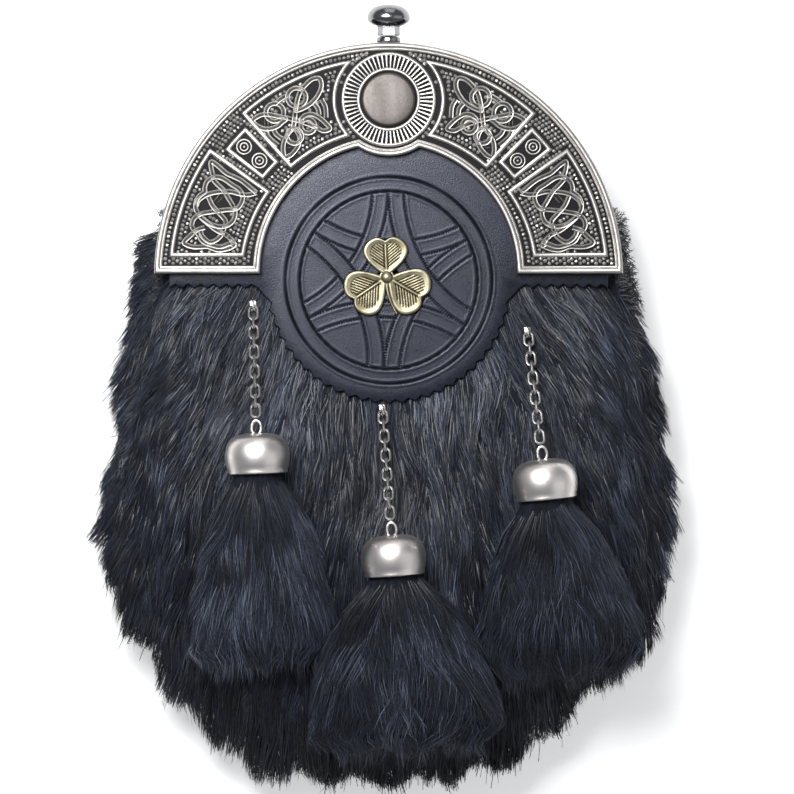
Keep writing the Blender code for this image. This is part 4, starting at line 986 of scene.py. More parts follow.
bm = bmesh.new()
add_plate(bm, cantle_path(0), CANTLE_Z, GROUND_Z)
foot_angle = math.degrees(math.asin(CANTLE_FOOT / CANTLE_R))
lip = [
    arc((0, 0), CANTLE_R, foot_angle, 180 - foot_angle, 160),
    arc((0, 0), CANTLE_R - LIP_WIDTH, 180 - foot_angle, foot_angle, 160),
]
add_plate(bm, np.vstack(lip), LIP_Z, CANTLE_Z + 0.5)
finish_piece("cantle_plate", bm, CANTLE_METAL, ["cantle"], merge=1e-4)

# %% [markdown]
# The rim is a rolled bar with a thin bead along its inner side. Frames and rim are sections swept along
# lines, mitred at the corners. The frames follow the same arcs as the plate, so all are set by their radii.

# %% Rim and frames
PANEL_OUTER_R = 70.7
PANEL_INNER_R = 47.9
BLOCK_OUTER_R = 66.5
BLOCK_INNER_R = 52.1
BOSS_CLEAR_R = 17.7
RIM_INSET = 1.35
# where the panels end, in degrees round the arch from its feet, and how high the lowest panel starts
UPPER_PANEL_START = 48.5
BLOCK_START, BLOCK_END = 38.4, 45.7
LOWER_PANEL_END = 35.2
LOWER_PANEL_UP = 7.1
RIM_SECTION = (
    (-1.3, -0.4), (-1.3, 0.5), (-1.16, 0.86), (-0.85, 1.12), (-0.4, 1.2), (0.05, 1.1), (0.36, 0.82), (0.52, 0.46),
    (0.68, 0.44), (0.84, 0.6), (1.06, 0.56), (1.24, 0.3), (1.3, -0.4),
)  # fmt: skip


def beside_boss(radius):
    """The angle, seen from the cantle's centre, at which an arc of this radius clears the boss."""
    part = (radius**2 + BOSS_UP**2 - BOSS_CLEAR_R**2) / (2 * radius * BOSS_UP)
    return 90 - math.degrees(math.acos(part))


def upper_frame():
    outer_end, inner_end = beside_boss(PANEL_OUTER_R), beside_boss(PANEL_INNER_R)
    ends = [polar(PANEL_OUTER_R, outer_end) - (0, BOSS_UP), polar(PANEL_INNER_R, inner_end) - (0, BOSS_UP)]
    start, end = (math.degrees(math.atan2(y, x)) for x, y in ends)
    return np.vstack(
        [
            arc((0, 0), PANEL_OUTER_R, UPPER_PANEL_START, outer_end, 28),
            arc((0, BOSS_UP), BOSS_CLEAR_R, start, end, 20)[1:-1],
            arc((0, 0), PANEL_INNER_R, inner_end, UPPER_PANEL_START, 20),
        ]
    )


def lower_frame():
    low_inner, low_outer = (math.degrees(math.asin(LOWER_PANEL_UP / r)) for r in (PANEL_INNER_R, PANEL_OUTER_R))
    inner = arc((0, 0), PANEL_INNER_R, LOWER_PANEL_END, low_inner, 20)
    return np.vstack([inner, arc((0, 0), PANEL_OUTER_R, low_outer, LOWER_PANEL_END, 24)])


def block_frame():
    outer = arc((0, 0), BLOCK_OUTER_R, BLOCK_START, BLOCK_END, 6)
    return np.vstack([outer, arc((0, 0), BLOCK_INNER_R, BLOCK_END, BLOCK_START, 6)])


def both_sides(points):
    """A line on the right half of the arch, and its mirror image on the left."""
    points = np.asarray(points, float)
    return points, points * (-1, 1)


frame_lines = [line for shape in (upper_frame(), lower_frame(), block_frame()) for line in both_sides(shape)]
bm = bmesh.new()
add_sweep(bm, with_height(cantle_path(RIM_INSET), GROUND_Z), RIM_SECTION, closed=True)
for line in frame_lines:
    add_sweep(bm, with_height(line, GROUND_Z), round_profile(1.6, 0.85, 9), closed=True)
finish_piece("cantle_rim_and_frames", bm, CANTLE_METAL, smooth=55)

# %% [markdown]
# The boss has a rolled ring, a ring of sixty short bars with dark slots between, and a plain, slightly domed
# disc that sits in a groove. One bar is swept, and it is the same for all sixty, turned round the boss.

# %% The boss
REEDS = 60
REED_SECTION = [(-0.28, -0.3), (-0.28, 0.5), (-0.14, 0.72), (0.14, 0.72), (0.28, 0.5), (0.28, -0.3)]


def boss_circle(radius, steps):
    return with_height(arc((0, BOSS_UP), radius, 0, 360, steps)[:-1], GROUND_Z)


bm = bmesh.new()
add_sweep(bm, boss_circle(14.75, 120), round_profile(1.5, 1.05), closed=True)
add_sweep(bm, boss_circle(9.8, 90), round_profile(1.5, 0.9), closed=True)
for turn in np.arange(REEDS) * 360 / REEDS + 3:
    reed = with_height([polar(r, turn) + (0, BOSS_UP) for r in (10.2, 10.7, 13.9, 14.4)], GROUND_Z)
    add_sweep(bm, reed, REED_SECTION, swell=(0.9, 1, 1.5, 1.5))
finish_piece("cantle_boss", bm, CANTLE_METAL, smooth=55)

bm = bmesh.new()
disc = [(0, 0), (8.6, 0), (8.69, 0.3), (8.6, 0.62), (8.3, 0.86), (7.8, 0.97), (5.5, 1.04), (0, 1.1)]
add_lathe(bm, disc, 96, Matrix.Translation((0, BOSS_UP, GROUND_Z + 0.3)))
finish_piece("boss_disc", bm, DISC_METAL, ["cantle_disc"], smooth=30)

# %% [markdown]
# Knotwork strands pass over and under each other. Each strand is a band with a rail along each edge, swept
# along a smooth curve through places measured on the photograph. Where two strands cross, one is lifted and
# the other sunk, in turn along each strand, which is what makes it read as a weave.

# %% The lines of the knots
UPPER_LOOPS = (
    (
        (29.8, 53.9), (30.0, 54.7), (29.6, 57.2), (28.8, 59.7), (27.6, 61.5), (25.5, 63.6), (23.6, 64.4),
        (22.2, 64.0), (21.8, 61.7), (22.8, 59.1), (24.7, 56.6), (27.2, 54.9),
    ),
    (
        (44.1, 50.4), (42.4, 52.0), (39.8, 52.7), (36.7, 52.2), (34.2, 51.6), (33.4, 51.0), (34.4, 50.2),
        (36.2, 48.7), (39.1, 47.9), (41.8, 48.5),
    ),
    (
        (28.4, 50.5), (27.2, 52.2), (24.9, 52.7), (22.2, 51.4), (19.9, 49.3), (19.1, 47.9), (21.2, 47.3),
        (23.2, 48.3), (25.5, 49.3),
    ),
    (
        (30.9, 47.9), (32.5, 46.5), (33.8, 44.0), (34.2, 41.5), (33.8, 39.2), (33.1, 38.8), (31.3, 39.8),
        (29.4, 42.3), (28.8, 44.8), (29.6, 47.1),
    ),
)  # fmt: skip
UPPER_ENDS = (
    ((30.1, 54.7), (30.5, 51.0), (30.9, 47.3)),
    ((33.8, 51.7), (30.5, 50.9), (28.0, 50.4)),
    ((36.7, 56.2), (34.8, 57.8), (32.5, 59.0)),
    ((24.2, 56.2), (22.9, 54.5), (22.5, 52.4)),
    ((21.8, 57.6), (20.5, 55.1), (20.2, 51.6)),
    ((39.9, 47.7), (38.9, 45.3), (35.8, 42.6)),
    ((37.3, 47.9), (36.4, 46.2), (34.6, 44.8)),
)
UPPER_RINGS = ((26.1, 48.9, 2.3), (36.9, 53.3, 2.9), (29.8, 58.2, 3.0), (30.5, 45.6, 2.4))
LOWER_LOOPS = (
    (
        (47.4, 26.6), (47.4, 24.8), (48.5, 22.7), (50.3, 21.9), (52.8, 21.7), (55.4, 21.4), (58.0, 21.0),
        (60.9, 20.4), (62.9, 19.1), (63.7, 17.3), (63.4, 15.7), (61.6, 13.7), (60.3, 11.6), (57.5, 10.3),
        (54.4, 9.8), (51.3, 10.8), (50.0, 10.0), (51.0, 12.1), (52.8, 13.7), (55.4, 14.9), (58.0, 16.8),
        (60.1, 18.6), (61.4, 20.1), (62.4, 21.9), (62.5, 24.0), (61.4, 26.1), (59.6, 27.6), (59.6, 28.9),
        (58.8, 31.0), (56.5, 32.3), (53.9, 32.0), (50.8, 29.9), (48.5, 28.4),
    ),
)  # fmt: skip
LOWER_ENDS = (
    (
        (42.8, 27.2), (44.8, 28.9), (47.7, 31.2), (50.0, 32.4), (52.6, 33.6), (55.2, 35.9), (57.4, 37.3),
        (57.5, 35.4), (57.0, 33.3), (56.7, 31.5), (55.4, 29.9), (53.4, 27.9), (51.3, 24.5), (50.0, 22.2),
        (49.7, 20.6), (50.0, 19.1), (51.0, 17.5), (53.1, 16.4), (55.7, 16.4), (58.0, 17.3), (60.3, 19.0),
    ),
    (
        (42.8, 27.2), (45.4, 26.6), (47.9, 26.8), (51.0, 27.6), (54.4, 27.6), (57.5, 27.1), (59.6, 26.3),
        (61.6, 24.8), (62.3, 23.0),
    ),
    (
        (58.5, 26.3), (57.0, 23.0), (54.4, 20.1), (52.8, 18.0), (53.4, 15.5), (54.1, 13.7), (55.7, 12.1),
        (58.0, 11.3), (60.3, 13.1), (60.9, 14.7),
    ),
    (
        (59.6, 16.0), (62.1, 15.2), (64.2, 13.4), (66.3, 11.1), (63.7, 9.8), (60.9, 9.7), (58.5, 9.8),
        (55.4, 8.7), (52.3, 9.1), (50.0, 10.3), (51.0, 12.1), (52.3, 13.4),
    ),
)  # fmt: skip
BARS = (
    ((28.3, 59.3), (26.1, 58.3)), ((28.6, 58.2), (26.3, 57.2)), ((28.8, 57.2), (26.6, 56.2)),
    ((27.6, 60.1), (25.5, 59.3)), ((40.2, 51.2), (40.2, 48.9)), ((39.0, 51.4), (39.0, 48.8)),
    ((37.9, 51.4), (37.9, 48.9)), ((36.7, 51.3), (36.7, 49.3)), ((25.1, 51.2), (25.1, 49.8)),
    ((23.8, 51.0), (23.8, 49.3)), ((22.6, 50.4), (22.6, 48.7)), ((32.7, 44.4), (30.7, 44.4)),
    ((32.9, 43.1), (30.9, 43.1)), ((33.0, 41.9), (31.2, 41.9)), ((53.4, 26.3), (55.4, 24.0)),
    ((54.9, 26.6), (56.7, 24.5)),
)  # fmt: skip
STRAND_SECTION = (
    (-0.86, -0.4), (-0.84, 0.42), (-0.68, 0.66), (-0.44, 0.64), (-0.24, 0.36), (-0.12, 0.08),
    (0.12, 0.08), (0.24, 0.36), (0.44, 0.64), (0.68, 0.66), (0.84, 0.42), (0.86, -0.4),
)  # fmt: skip
STRAND_LIFT = 0.24
RING_SPOT = 42.0  # degrees, the middle of the block with the two ringed dots
RING_SPOT_RADII = (56.3, 63.0)
print("knot lines a side:", len(UPPER_LOOPS + UPPER_RINGS + UPPER_ENDS + LOWER_LOOPS + LOWER_ENDS))


# %% The weave
def smooth_line(points, closed, per=5):
    """A smooth curve through points."""
    points = np.asarray(points, float)
    if closed:
        held = np.vstack([points[-1:], points, points[:2]])
    else:
        held = np.vstack([2 * points[0] - points[1], points, 2 * points[-1] - points[-2]])
    t = (np.arange(per) / per)[:, None]
    runs = [
        0.5 * (2 * b + t * (c - a) + t**2 * (2 * a - 5 * b + 4 * c - d) + t**3 * (3 * b - a - 3 * c + d))
        for a, b, c, d in zip(held, held[1:], held[2:], held[3:])
    ]
    line = np.vstack(runs)
    return line if closed else np.vstack([line, points[-1:]])


def crossings(first, second, same):
    """The steps of two lines at which they cross."""
    run, other = np.diff(first, axis=0)[:, None], np.diff(second, axis=0)[None]
    gap = second[None, :-1] - first[:-1, None]
    turn = run[..., 0] * other[..., 1] - run[..., 1] * other[..., 0]
    turn = np.where(np.abs(turn) < 1e-9, 1e-9, turn)
    t = (gap[..., 0] * other[..., 1] - gap[..., 1] * other[..., 0]) / turn
    u = (gap[..., 0] * run[..., 1] - gap[..., 1] * run[..., 0]) / turn
    i, j = np.nonzero((t >= 0) & (t < 1) & (u >= 0) & (u < 1))
    return [(a, b) for a, b in zip(i, j) if not same or (b > a + 3 and b - a < len(first) - 5)]


def weave(strands):
    """The height of each strand along its length: over and under in turn."""
    marks = [[] for _ in strands]
    for a, first in enumerate(strands):
        for b in range(a, len(strands)):
            for i, j in crossings(first, strands[b], a == b):
                meeting = [None]
                marks[a].append((i, meeting, 1))
                marks[b].append((j, meeting, -1))
    heights = []
    for strand, row in zip(strands, marks):
        height, over = np.zeros(len(strand)), 1
        reach = np.concatenate([[0], np.cumsum(np.linalg.norm(np.diff(strand, axis=0), axis=1))])
        for place, meeting, sign in sorted(row, key=lambda mark: mark[0]):
            if meeting[0] is None:
                meeting[0] = over * sign
            over = meeting[0] * sign
            height += over * STRAND_LIFT * np.exp(-(((reach - reach[place]) / 0.9) ** 2))
            over = -over
        heights.append(np.clip(height, -STRAND_LIFT, STRAND_LIFT))
    return heights


def knot_strands(loops, ends, rings):
    strands = [smooth_line(loop, True) for loop in loops]
    strands += [arc((x, y), r, 0, 360, 24)[:-1] for x, y, r in rings]
    return strands + [smooth_line(line, False) for line in ends], len(loops) + len(rings)


# %% Casting the knots
knot_lines = []
bm = bmesh.new()
for loops, ends, rings in ((UPPER_LOOPS, UPPER_ENDS, UPPER_RINGS), (LOWER_LOOPS, LOWER_ENDS, ())):
    strands, closed_count = knot_strands(loops, ends, rings)
    for k, (strand, height) in enumerate(zip(strands, weave(strands))):
        for line in both_sides(strand):
            knot_lines.append(line)
            path = np.column_stack([line, GROUND_Z + height])
            add_sweep(bm, path, STRAND_SECTION, closed=k < closed_count)
for bar in BARS:
    for line in both_sides(bar):
        add_sweep(bm, with_height(np.linspace(*line, 3), GROUND_Z), round_profile(0.6, 0.62, 5), swell=(0.6, 1, 0.6))
for radius in RING_SPOT_RADII:
    for middle in both_sides(polar(radius, RING_SPOT)):
        for ring_r, width, height in ((2.35, 0.75, 0.6), (1.25, 0.7, 0.55)):
            circle = with_height(arc(middle, ring_r, 0, 360, 36)[:-1], GROUND_Z)
            add_sweep(bm, circle, round_profile(width, height), closed=True)
        dot = Matrix.Translation((*middle, GROUND_Z)) @ Matrix.Diagonal((1, 1, 0.9, 1))
        bmesh.ops.create_icosphere(bm, subdivisions=2, radius=0.55, matrix=dot)
finish_piece("cantle_knots", bm, CANTLE_METAL, smooth=60)

# %% [markdown]
# The pebbled ground: beads in staggered rows along the arch, left out where a line, a knot or the boss
# stands. Each bead is a small cut stone shape, turned at random, so that every one catches the light its own way.

# %% The pebbled ground
PEBBLE_PITCH = 1.46


def in_loop(x, y, loop):
    a, b = loop, np.roll(loop, -1, 0)
    passed = (a[:, 1] > y) != (b[:, 1] > y)
    rise = np.where(a[:, 1] == b[:, 1], 1e-9, b[:, 1] - a[:, 1])
    return bool((passed & (x < a[:, 0] + (y - a[:, 1]) / rise * (b[:, 0] - a[:, 0]))).sum() % 2)


def line_spots():
    """Places all along the raised lines, each with the room that it needs to the next pebble."""
    lines = [(cantle_path(RIM_INSET), 1.8)]
    lines += [(line, 1.3) for line in frame_lines] + [(line, 1.2) for line in knot_lines]
    spots = []
    for points, room in lines:
        for a, b in zip(points, np.roll(points, -1, 0)):
            if np.linalg.norm(b - a) < 25:
                spots += [(*(a + (b - a) * t), room) for t in (0, 0.34, 0.67)]
    return spots


def pebble_places():
    spots = line_spots()
    tree = flat_tree([spot[:2] for spot in spots])
    places = []
    rows = [arc((0, BOSS_UP), 16.5, 90, 450, 71)[:-1]]
    for row, radius in enumerate(np.arange(CANTLE_R - 3.5, CANTLE_INNER_R + 3, -0.87 * PEBBLE_PITCH)):
        count = int(math.pi * radius / PEBBLE_PITCH)
        rows.append(polar(radius, 180 * (np.arange(count) + 0.5 * (row % 2)) / count))
    loops = [both for loop in (*UPPER_LOOPS, *LOWER_LOOPS) for both in both_sides(loop)]
    for x, y in np.vstack(rows) + random.normal(0, 0.05, (sum(map(len, rows)), 2)):
        radius, side = math.hypot(x, y), math.degrees(math.atan2(y, abs(x)))
        in_block = BLOCK_INNER_R < radius < BLOCK_OUTER_R and BLOCK_START < side < BLOCK_END
        beside = math.hypot(x, y - CANTLE_INNER_UP) < CANTLE_INNER_R + 3.1 or math.hypot(x, y - BOSS_UP) < 16.2
        _, nearest, far = tree.find((x, y, 0))
        plain = in_block or beside or y < CANTLE_FOOT + 3.2 or any(in_loop(x, y, loop) for loop in loops)
        if not plain and far > spots[nearest][2]:
            places.append((x, y))
    return places


bm = bmesh.new()
for x, y in pebble_places():
    size = random.uniform(0.68, 0.83)
    turned = Matrix.Rotation(random.uniform(0, 6.3), 4, "Z") @ Matrix.Rotation(random.uniform(0, 0.5), 4, "X")
    squat = Matrix.Translation((x, y, GROUND_Z)) @ Matrix.Diagonal((1, 1, 0.85, 1)) @ turned
    bmesh.ops.create_icosphere(bm, subdivisions=1, radius=size, matrix=squat)
finish_piece("cantle_pebbles", bm, CANTLE_METAL, smooth=0, merge=1e-5)

# %% [markdown]
# ## The knob
# The screw knob works the catch. It is turned from one bar: a mushroom head, a neck filed to a hexagon for the
# fingers, and a loose collar below it.

# %% Knob and collar
KNOB_Z = 38.2
KNOB_START = CANTLE_R + 0.3
upwards = Matrix.Rotation(math.radians(-90), 4, "X")


def above_cantle(far):
    return Matrix.Translation((0, KNOB_START + far, KNOB_Z)) @ upwards


bm = bmesh.new()
add_lathe(bm, [(0, 0), (3.75, 0), (3.9, 0.2), (3.9, 1.2), (3.6, 1.6), (3.2, 1.8), (0, 1.8)], 48, above_cantle(0))
finish_piece("collar", bm, KNOB_METAL, ["knob_collar"], smooth=35)
bm = bmesh.new()
hexagon = [(0, 0), (3.45, 0), (3.64, 0.2), (3.64, 3.2), (3.4, 3.7), (0, 3.7)]
add_lathe(bm, hexagon, 6, above_cantle(2.1))
head = [
    (0, 2.9), (3.4, 2.9), (3.9, 3.1), (5.2, 3.6), (6.4, 4.35), (6.95, 5.1), (7.05, 5.75), (6.95, 6.6),
    (6.6, 7.5), (6.0, 8.4), (4.9, 9.3), (3.4, 9.85), (1.8, 10.08), (0, 10.1),
]  # fmt: skip
add_lathe(bm, head, 64, above_cantle(2.1))
finish_piece("knob_turned", bm, KNOB_METAL, ["knob"], smooth=28)

# %% [markdown]
# ## The flap
# The flap is thick leather with a pinked edge, cut with a toothed punch. The interlaced star on its round lobe
# is tooled: the leather is wetted, cut lightly along each line and pressed down, which leaves crisp grooves.

# %% The flap's outline
FLAP_R = 71.3
FLAP_SHOULDER = 2.9
TOOTH_PITCH = 4.3
TOOTH_DEPTH = 1.3
TOOLED_R = 35.6


def pinked_run(start, end):
    start, end = np.array(start), np.array(end)
    teeth = max(round(float(np.linalg.norm(end - start)) / TOOTH_PITCH), 1)
    t = np.arange(2 * teeth + 1)
    out = unit(np.array([[(end - start)[1], -(end - start)[0]]]))
    return start + (end - start) * (t / (2 * teeth))[:, None] + out * np.where(t % 2, 0.5, -0.5)[:, None] * TOOTH_DEPTH


def pinked_arc(start, end):
    teeth = round(abs(math.radians(end - start)) * LOBE_R / TOOTH_PITCH)
    t = np.arange(2 * teeth + 1)
    reach = LOBE_R + np.where(t % 2, 0.5, -0.5) * TOOTH_DEPTH
    angles = np.radians(start + (end - start) * t / (2 * teeth))
    return LOBE + np.stack([reach * np.cos(angles), reach * np.sin(angles)], -1)


def flap_outline():
    corner = (math.sqrt(FLAP_R**2 - FLAP_SHOULDER**2), -FLAP_SHOULDER)
    join = LOBE + polar(LOBE_R, -9)
    inner_corner = (join[0] + 3.6, -FLAP_SHOULDER)
    angle = math.degrees(math.asin(FLAP_SHOULDER / FLAP_R))
    points = [arc((0, 0), FLAP_R, 180 + angle, -angle, 120)[1:-1]]
    points += [pinked_run(corner, inner_corner), pinked_arc(-11, -169)]
    points += [pinked_run((-inner_corner[0], inner_corner[1]), (-corner[0], corner[1]))]
    return np.vstack(points)


# %% The tooled star
STAR_NODES = (90.0, 147.3, 205.5, 267.0, 329.6, 27.0)  # degrees round the lobe's inner circle
STAR_R = 28.9
RING_R = 33.6
GROOVE_HALF = 0.42
GROOVE_DEPTH = 0.55


def bowed(start, end, bow, steps=60):
    """An arc between two points that bows towards the lobe's middle."""
    start, end = np.array(start), np.array(end)
    chord = end - start
    half = np.linalg.norm(chord) / 2
    radius = (half**2 + bow**2) / (2 * bow)
    inwards = -unit(((start + end) / 2)[None])[0]
    middle = (start + end) / 2 + inwards * bow - inwards * radius
    a, b = (math.atan2(*(p - middle)[::-1]) for p in (start, end))
    sweep = (b - a + math.pi) % math.tau - math.pi
    angles = a + sweep * np.linspace(0, 1, steps)
    return middle + radius * np.stack([np.cos(angles), np.sin(angles)], -1), middle, radius


def star_band(first, second):
    """A side of a star's triangle: its two grooves, and a test for points that lie in it."""
    a, b = STAR_NODES[first], STAR_NODES[second]
    turn = (b - a + 180) % 360 - 180
    step = 10.2 * (1 if turn > 0 else -1)
    far, _, far_r = inner = bowed(polar(STAR_R, a), polar(STAR_R, b), 6.7)
    near, _, near_r = outer = bowed(polar(STAR_R, a + step), polar(STAR_R, b - step), 5.7)

    def within(points):
        from_inner = np.linalg.norm(points - inner[1], axis=1)
        from_outer = np.linalg.norm(points - outer[1], axis=1)
        return (from_inner < far_r - 0.1) & (from_outer > near_r + 0.1)

    return far, near, within


def star_grooves():
    """Every groove's points about the lobe's middle, broken where a band passes below another."""
    sides = {
        "one left": star_band(0, 2), "one right": star_band(4, 0), "one low": star_band(2, 4),
        "two top": star_band(1, 5), "two left": star_band(3, 1), "two right": star_band(5, 3),
    }  # fmt: skip
    over = (
        ("one left", "two top"), ("two left", "one left"), ("one right", "two top"), ("one right", "two right"),
        ("two left", "one low"), ("two right", "one low"),
    )  # fmt: skip
    grooves = [polar(STAR_R, np.linspace(0, 360, 400)), polar(RING_R, np.linspace(0, 360, 460))]
    for name, (far, near, _) in sides.items():
        for line in (far, near):
            hidden = np.zeros(len(line), bool)
            for top, below in over:
                if below == name:
                    hidden |= sides[top][2](line)
            grooves.append(line[~hidden])
    return np.vstack(grooves)


# %% Cutting the flap
groove_points = star_grooves()
groove_tree = flat_tree(groove_points)
print("points along the grooves:", len(groove_points))


def tooled(u, v):
    radius = TOOLED_R * (0.12 + 0.88 * u)
    flat = np.stack([radius * np.cos(v * math.tau), radius * np.sin(v * math.tau)], -1)
    far = np.array([groove_tree.find((x, y, 0))[2] for x, y in flat])
    cut = GROOVE_DEPTH * (1 - smooth_step(far / GROOVE_HALF)) - 0.07 * np.exp(-(((far - 0.95) / 0.35) ** 2))
    cut[u > 0.999] = 0
    return np.column_stack([flat + LOBE, FLAP_TOP - cut])


TOOLED_ACROSS, TOOLED_ROUND = ((112, 450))
bm = bmesh.new()
outline = flap_outline()
base = bm.faces.new([bm.verts.new((x, y, FLAP_Z)) for x, y in outline])
walls = bmesh.ops.extrude_edge_only(bm, edges=base.edges[:])["geom"]
raised = [v for v in walls if isinstance(v, bmesh.types.BMVert)]
bmesh.ops.translate(bm, vec=(0, 0, FLAP_TOP - FLAP_Z), verts=raised)
top_edges = [e for e in walls if isinstance(e, bmesh.types.BMEdge)]
lobe_middle = Matrix.Translation((*LOBE, FLAP_TOP))
hole = bmesh.ops.create_circle(bm, segments=TOOLED_ROUND, radius=TOOLED_R, matrix=lobe_middle)
hole_edges = list({e for v in hole["verts"] for e in v.link_edges})
bmesh.ops.triangle_fill(bm, edges=top_edges + hole_edges, use_beauty=True)
round_edges(bm, top_edges, 0.35, 2)
add_sheet(bm, TOOLED_ACROSS, TOOLED_ROUND, tooled)
finish_piece("tooled_flap", bm, FLAP_LEATHER, ["front_flap"], smooth=50, merge=0.02)

# %% [markdown]
# ## The shamrock
# A pale brass badge: three crowned leaves with a smooth raised edge, a midrib and engraved veins, a short stem
# and a bead over the middle. The engraving holds dark stain, and the raised parts are polished bright.

# %% Leaves, stem and bead
SEAT = FLAP_TOP + 0.3
LEAF_LENGTH = 13.6
LEAF_WIDTH = 14.0
LEAVES = ((92.6, 1.05), (214.0, 1.14), (330.0, 1.16))  # each leaf's direction in degrees and its size
BADGE_LEFT = 0.6  # the badge is pinned this far left of the flap's middle
VEIN_PITCH = 0.92


def heart(turn):
    """A leaf's outline at a turn from 0 at its point: how far along and across the leaf."""
    across = 0.5 * LEAF_WIDTH * np.sin(turn) * np.abs(np.sin(turn)) ** 0.5
    along = LEAF_LENGTH * (0.5 - 0.5 * np.cos(turn)) ** 0.72
    notch = 0.16 * LEAF_LENGTH * np.exp(-(((np.pi - turn) / 0.42) ** 2))
    return along - notch, across


def leaf_spot(direction, size):
    along_way = polar(1, direction)
    across_way = np.array([-along_way[1], along_way[0]])

    def place(u, v):
        turn = v * math.tau
        along, across = heart(turn)
        share = np.clip(u / 0.86, 0, 1)
        a = 0.5 * LEAF_LENGTH + (along - 0.5 * LEAF_LENGTH) * share
        b = across * share
        inside = smooth_step((0.74 - share) / 0.08)
        crown = 1.0 - 0.1 * share**2 + 0.26 * np.exp(-(((share - 0.88) / 0.1) ** 2))
        slant = (a - 0.75 * np.abs(b)) / VEIN_PITCH
        vein = np.clip(1 - np.abs(slant - np.round(slant)) / 0.24, 0, 1) * np.clip((np.abs(b) - 0.3) / 0.3, 0, 1)
        rib = 0.16 * np.exp(-((b / 0.3) ** 2)) - 0.22 * np.exp(-(((np.abs(b) - 0.52) / 0.18) ** 2))
        height = crown + inside * (rib * (a > 1.5) - 0.34 * vein * (a > 2.2) - 0.1)
        edge = smooth_step((share - 0.96) / 0.04)
        height = height - 0.35 * edge * (u <= 0.87)
        under = u > 0.96
        height = np.where(u > 0.9, 0.12, height)
        a = np.where(under, 0.5 * LEAF_LENGTH, a)
        b = b * np.where(under, 0.0, 1.0)
        flat = size * (a[:, None] * along_way + b[:, None] * across_way)
        return np.column_stack([flat - (BADGE_LEFT, 0), SEAT + height])

    return place


bm = bmesh.new()
for direction, size in LEAVES:
    add_sheet(bm, 50, 118, leaf_spot(direction, size))
stem = smooth_line([(-0.6, 0), (-0.5, -3.6), (0.4, -7.2), (1.7, -10.1), (2.7, -11.9)], False)
add_sweep(bm, with_height(stem, SEAT + 0.55), circle_profile(0.45, 8), swell=np.linspace(1.2, 0.8, len(stem)))
add_lathe(bm, [(0, 0.1), (2.3, 0.1), (2.3, 1.0), (0, 1.15)], 32, Matrix.Translation((-BADGE_LEFT, 0, SEAT)))
finish_piece("shamrock_leaves", bm, BRASS, ["shamrock"], smooth=60)
bm = bmesh.new()
bead = [(0, 0)] + [(1.95 * math.cos(a), 1.7 * math.sin(a)) for a in np.linspace(0, math.pi / 2, 9)]
add_lathe(bm, bead, 32, Matrix.Translation((-BADGE_LEFT, 0, SEAT + 1.5)))
finish_piece("middle_bead", bm, BRASS, ["shamrock_bead"], smooth=50)

# %% [markdown]
# ## Chains and bells
# The chains are plain oval links of round wire. Every second link is turned by a quarter, so that one is seen
# face on and the next edge on. Each link's place and turn are read from its CAD node, as its longest and
# shortest directions.

# %% Chain links
WIRE = 0.88
LINK_POINTS = 26


def link_path(node):
    points = node_points(node)
    middle = (points.max(0) + points.min(0)) / 2
    middle = points.mean(0) if np.linalg.norm(points.mean(0) - middle) < 0.5 else middle
    spans = np.linalg.eigh(np.cov((points - middle).T))[1]
    normal, across, along = spans[:, 0], spans[:, 1], spans[:, 2]
    length = np.ptp((points - middle) @ along) - WIRE
    width = np.ptp((points - middle) @ across) - WIRE
    angles = np.arange(LINK_POINTS) * math.tau / LINK_POINTS
    bend = width / 2
    far = np.sin(angles) * bend + np.sign(np.sin(angles)) * (length / 2 - bend)
    return middle + far[:, None] * along + (np.cos(angles) * bend)[:, None] * across, normal


for name in TASSEL_NAMES:
    bm = bmesh.new()
    nodes = [f"link_{name}_{i + 1:02d}" for i in range(11)]
    for node in nodes:
        path, normal = link_path(node)
        add_sweep(bm, path, circle_profile(WIRE / 2, 8), closed=True, up=tuple(normal))
    finish_piece("chain_" + name, bm, CHAIN_METAL, nodes)

# %% [markdown]
# Each bell is a spun barrel, hollow, with a rolled lip at the mouth and a wire eye at the top. The satin finish
# comes from brushing it while it turns, so the scratches run round it.

# %% Bells
BELL_SHAPE = [
    (0, 0), (3.2, 0.05), (5.2, 0.3), (6.9, 0.8), (8.3, 1.65), (9.4, 2.9), (10.1, 4.5), (10.5, 6.7),
    (10.4, 8.8), (10.05, 10.6), (9.6, 11.8), (9.7, 12.2), (9.6, 12.75), (9.2, 13.0), (8.8, 12.8), (8.8, 11.6),
    (9.3, 8.6), (9.3, 5.4), (8.4, 2.6), (6.2, 1.2), (0, 0.9),
]  # fmt: skip


def bell_frame(name):
    trunk = trunks[name]
    way = Vector((*trunk["way"], 0))
    top = Vector((*trunk["staple"], 0)) + way * (trunk["bell_end"] - BELL_LENGTH)
    across = Vector((0, 0, 1)).cross(way)
    turn = Matrix((across, Vector((0, 0, 1)), way)).transposed().to_4x4()
    return Matrix.Translation((top.x, top.y, trunk["bell_z"])) @ turn


for name in TASSEL_NAMES:
    bm = bmesh.new()
    place = bell_frame(name)
    add_lathe(bm, BELL_SHAPE, 80, place)
    turns = np.arange(28) * math.tau / 28
    eye = np.array([place @ Vector((1.5 * math.cos(a), 0, 2.35 * math.sin(a) - 1.75)) for a in turns])
    add_sweep(bm, eye, circle_profile(WIRE / 2, 8), closed=True, up=tuple(place.to_3x3() @ Vector((0, 1, 0))))
    finish_piece("barrel_" + name, bm, BELL_METAL, ["bell_" + name], smooth=45)

# %% [markdown]
# ## The back of the pouch
# The back is plain leather: a panel sewn to the front along a flat border, a flap over its mouth and two loops
# for the belt. The CAD model gives the panel straight sides. Here rays measure them and the rim is smoothed,
# and the sheet runs round the slot of the mouth as one closed ring, with a crease pressed beside the seam.

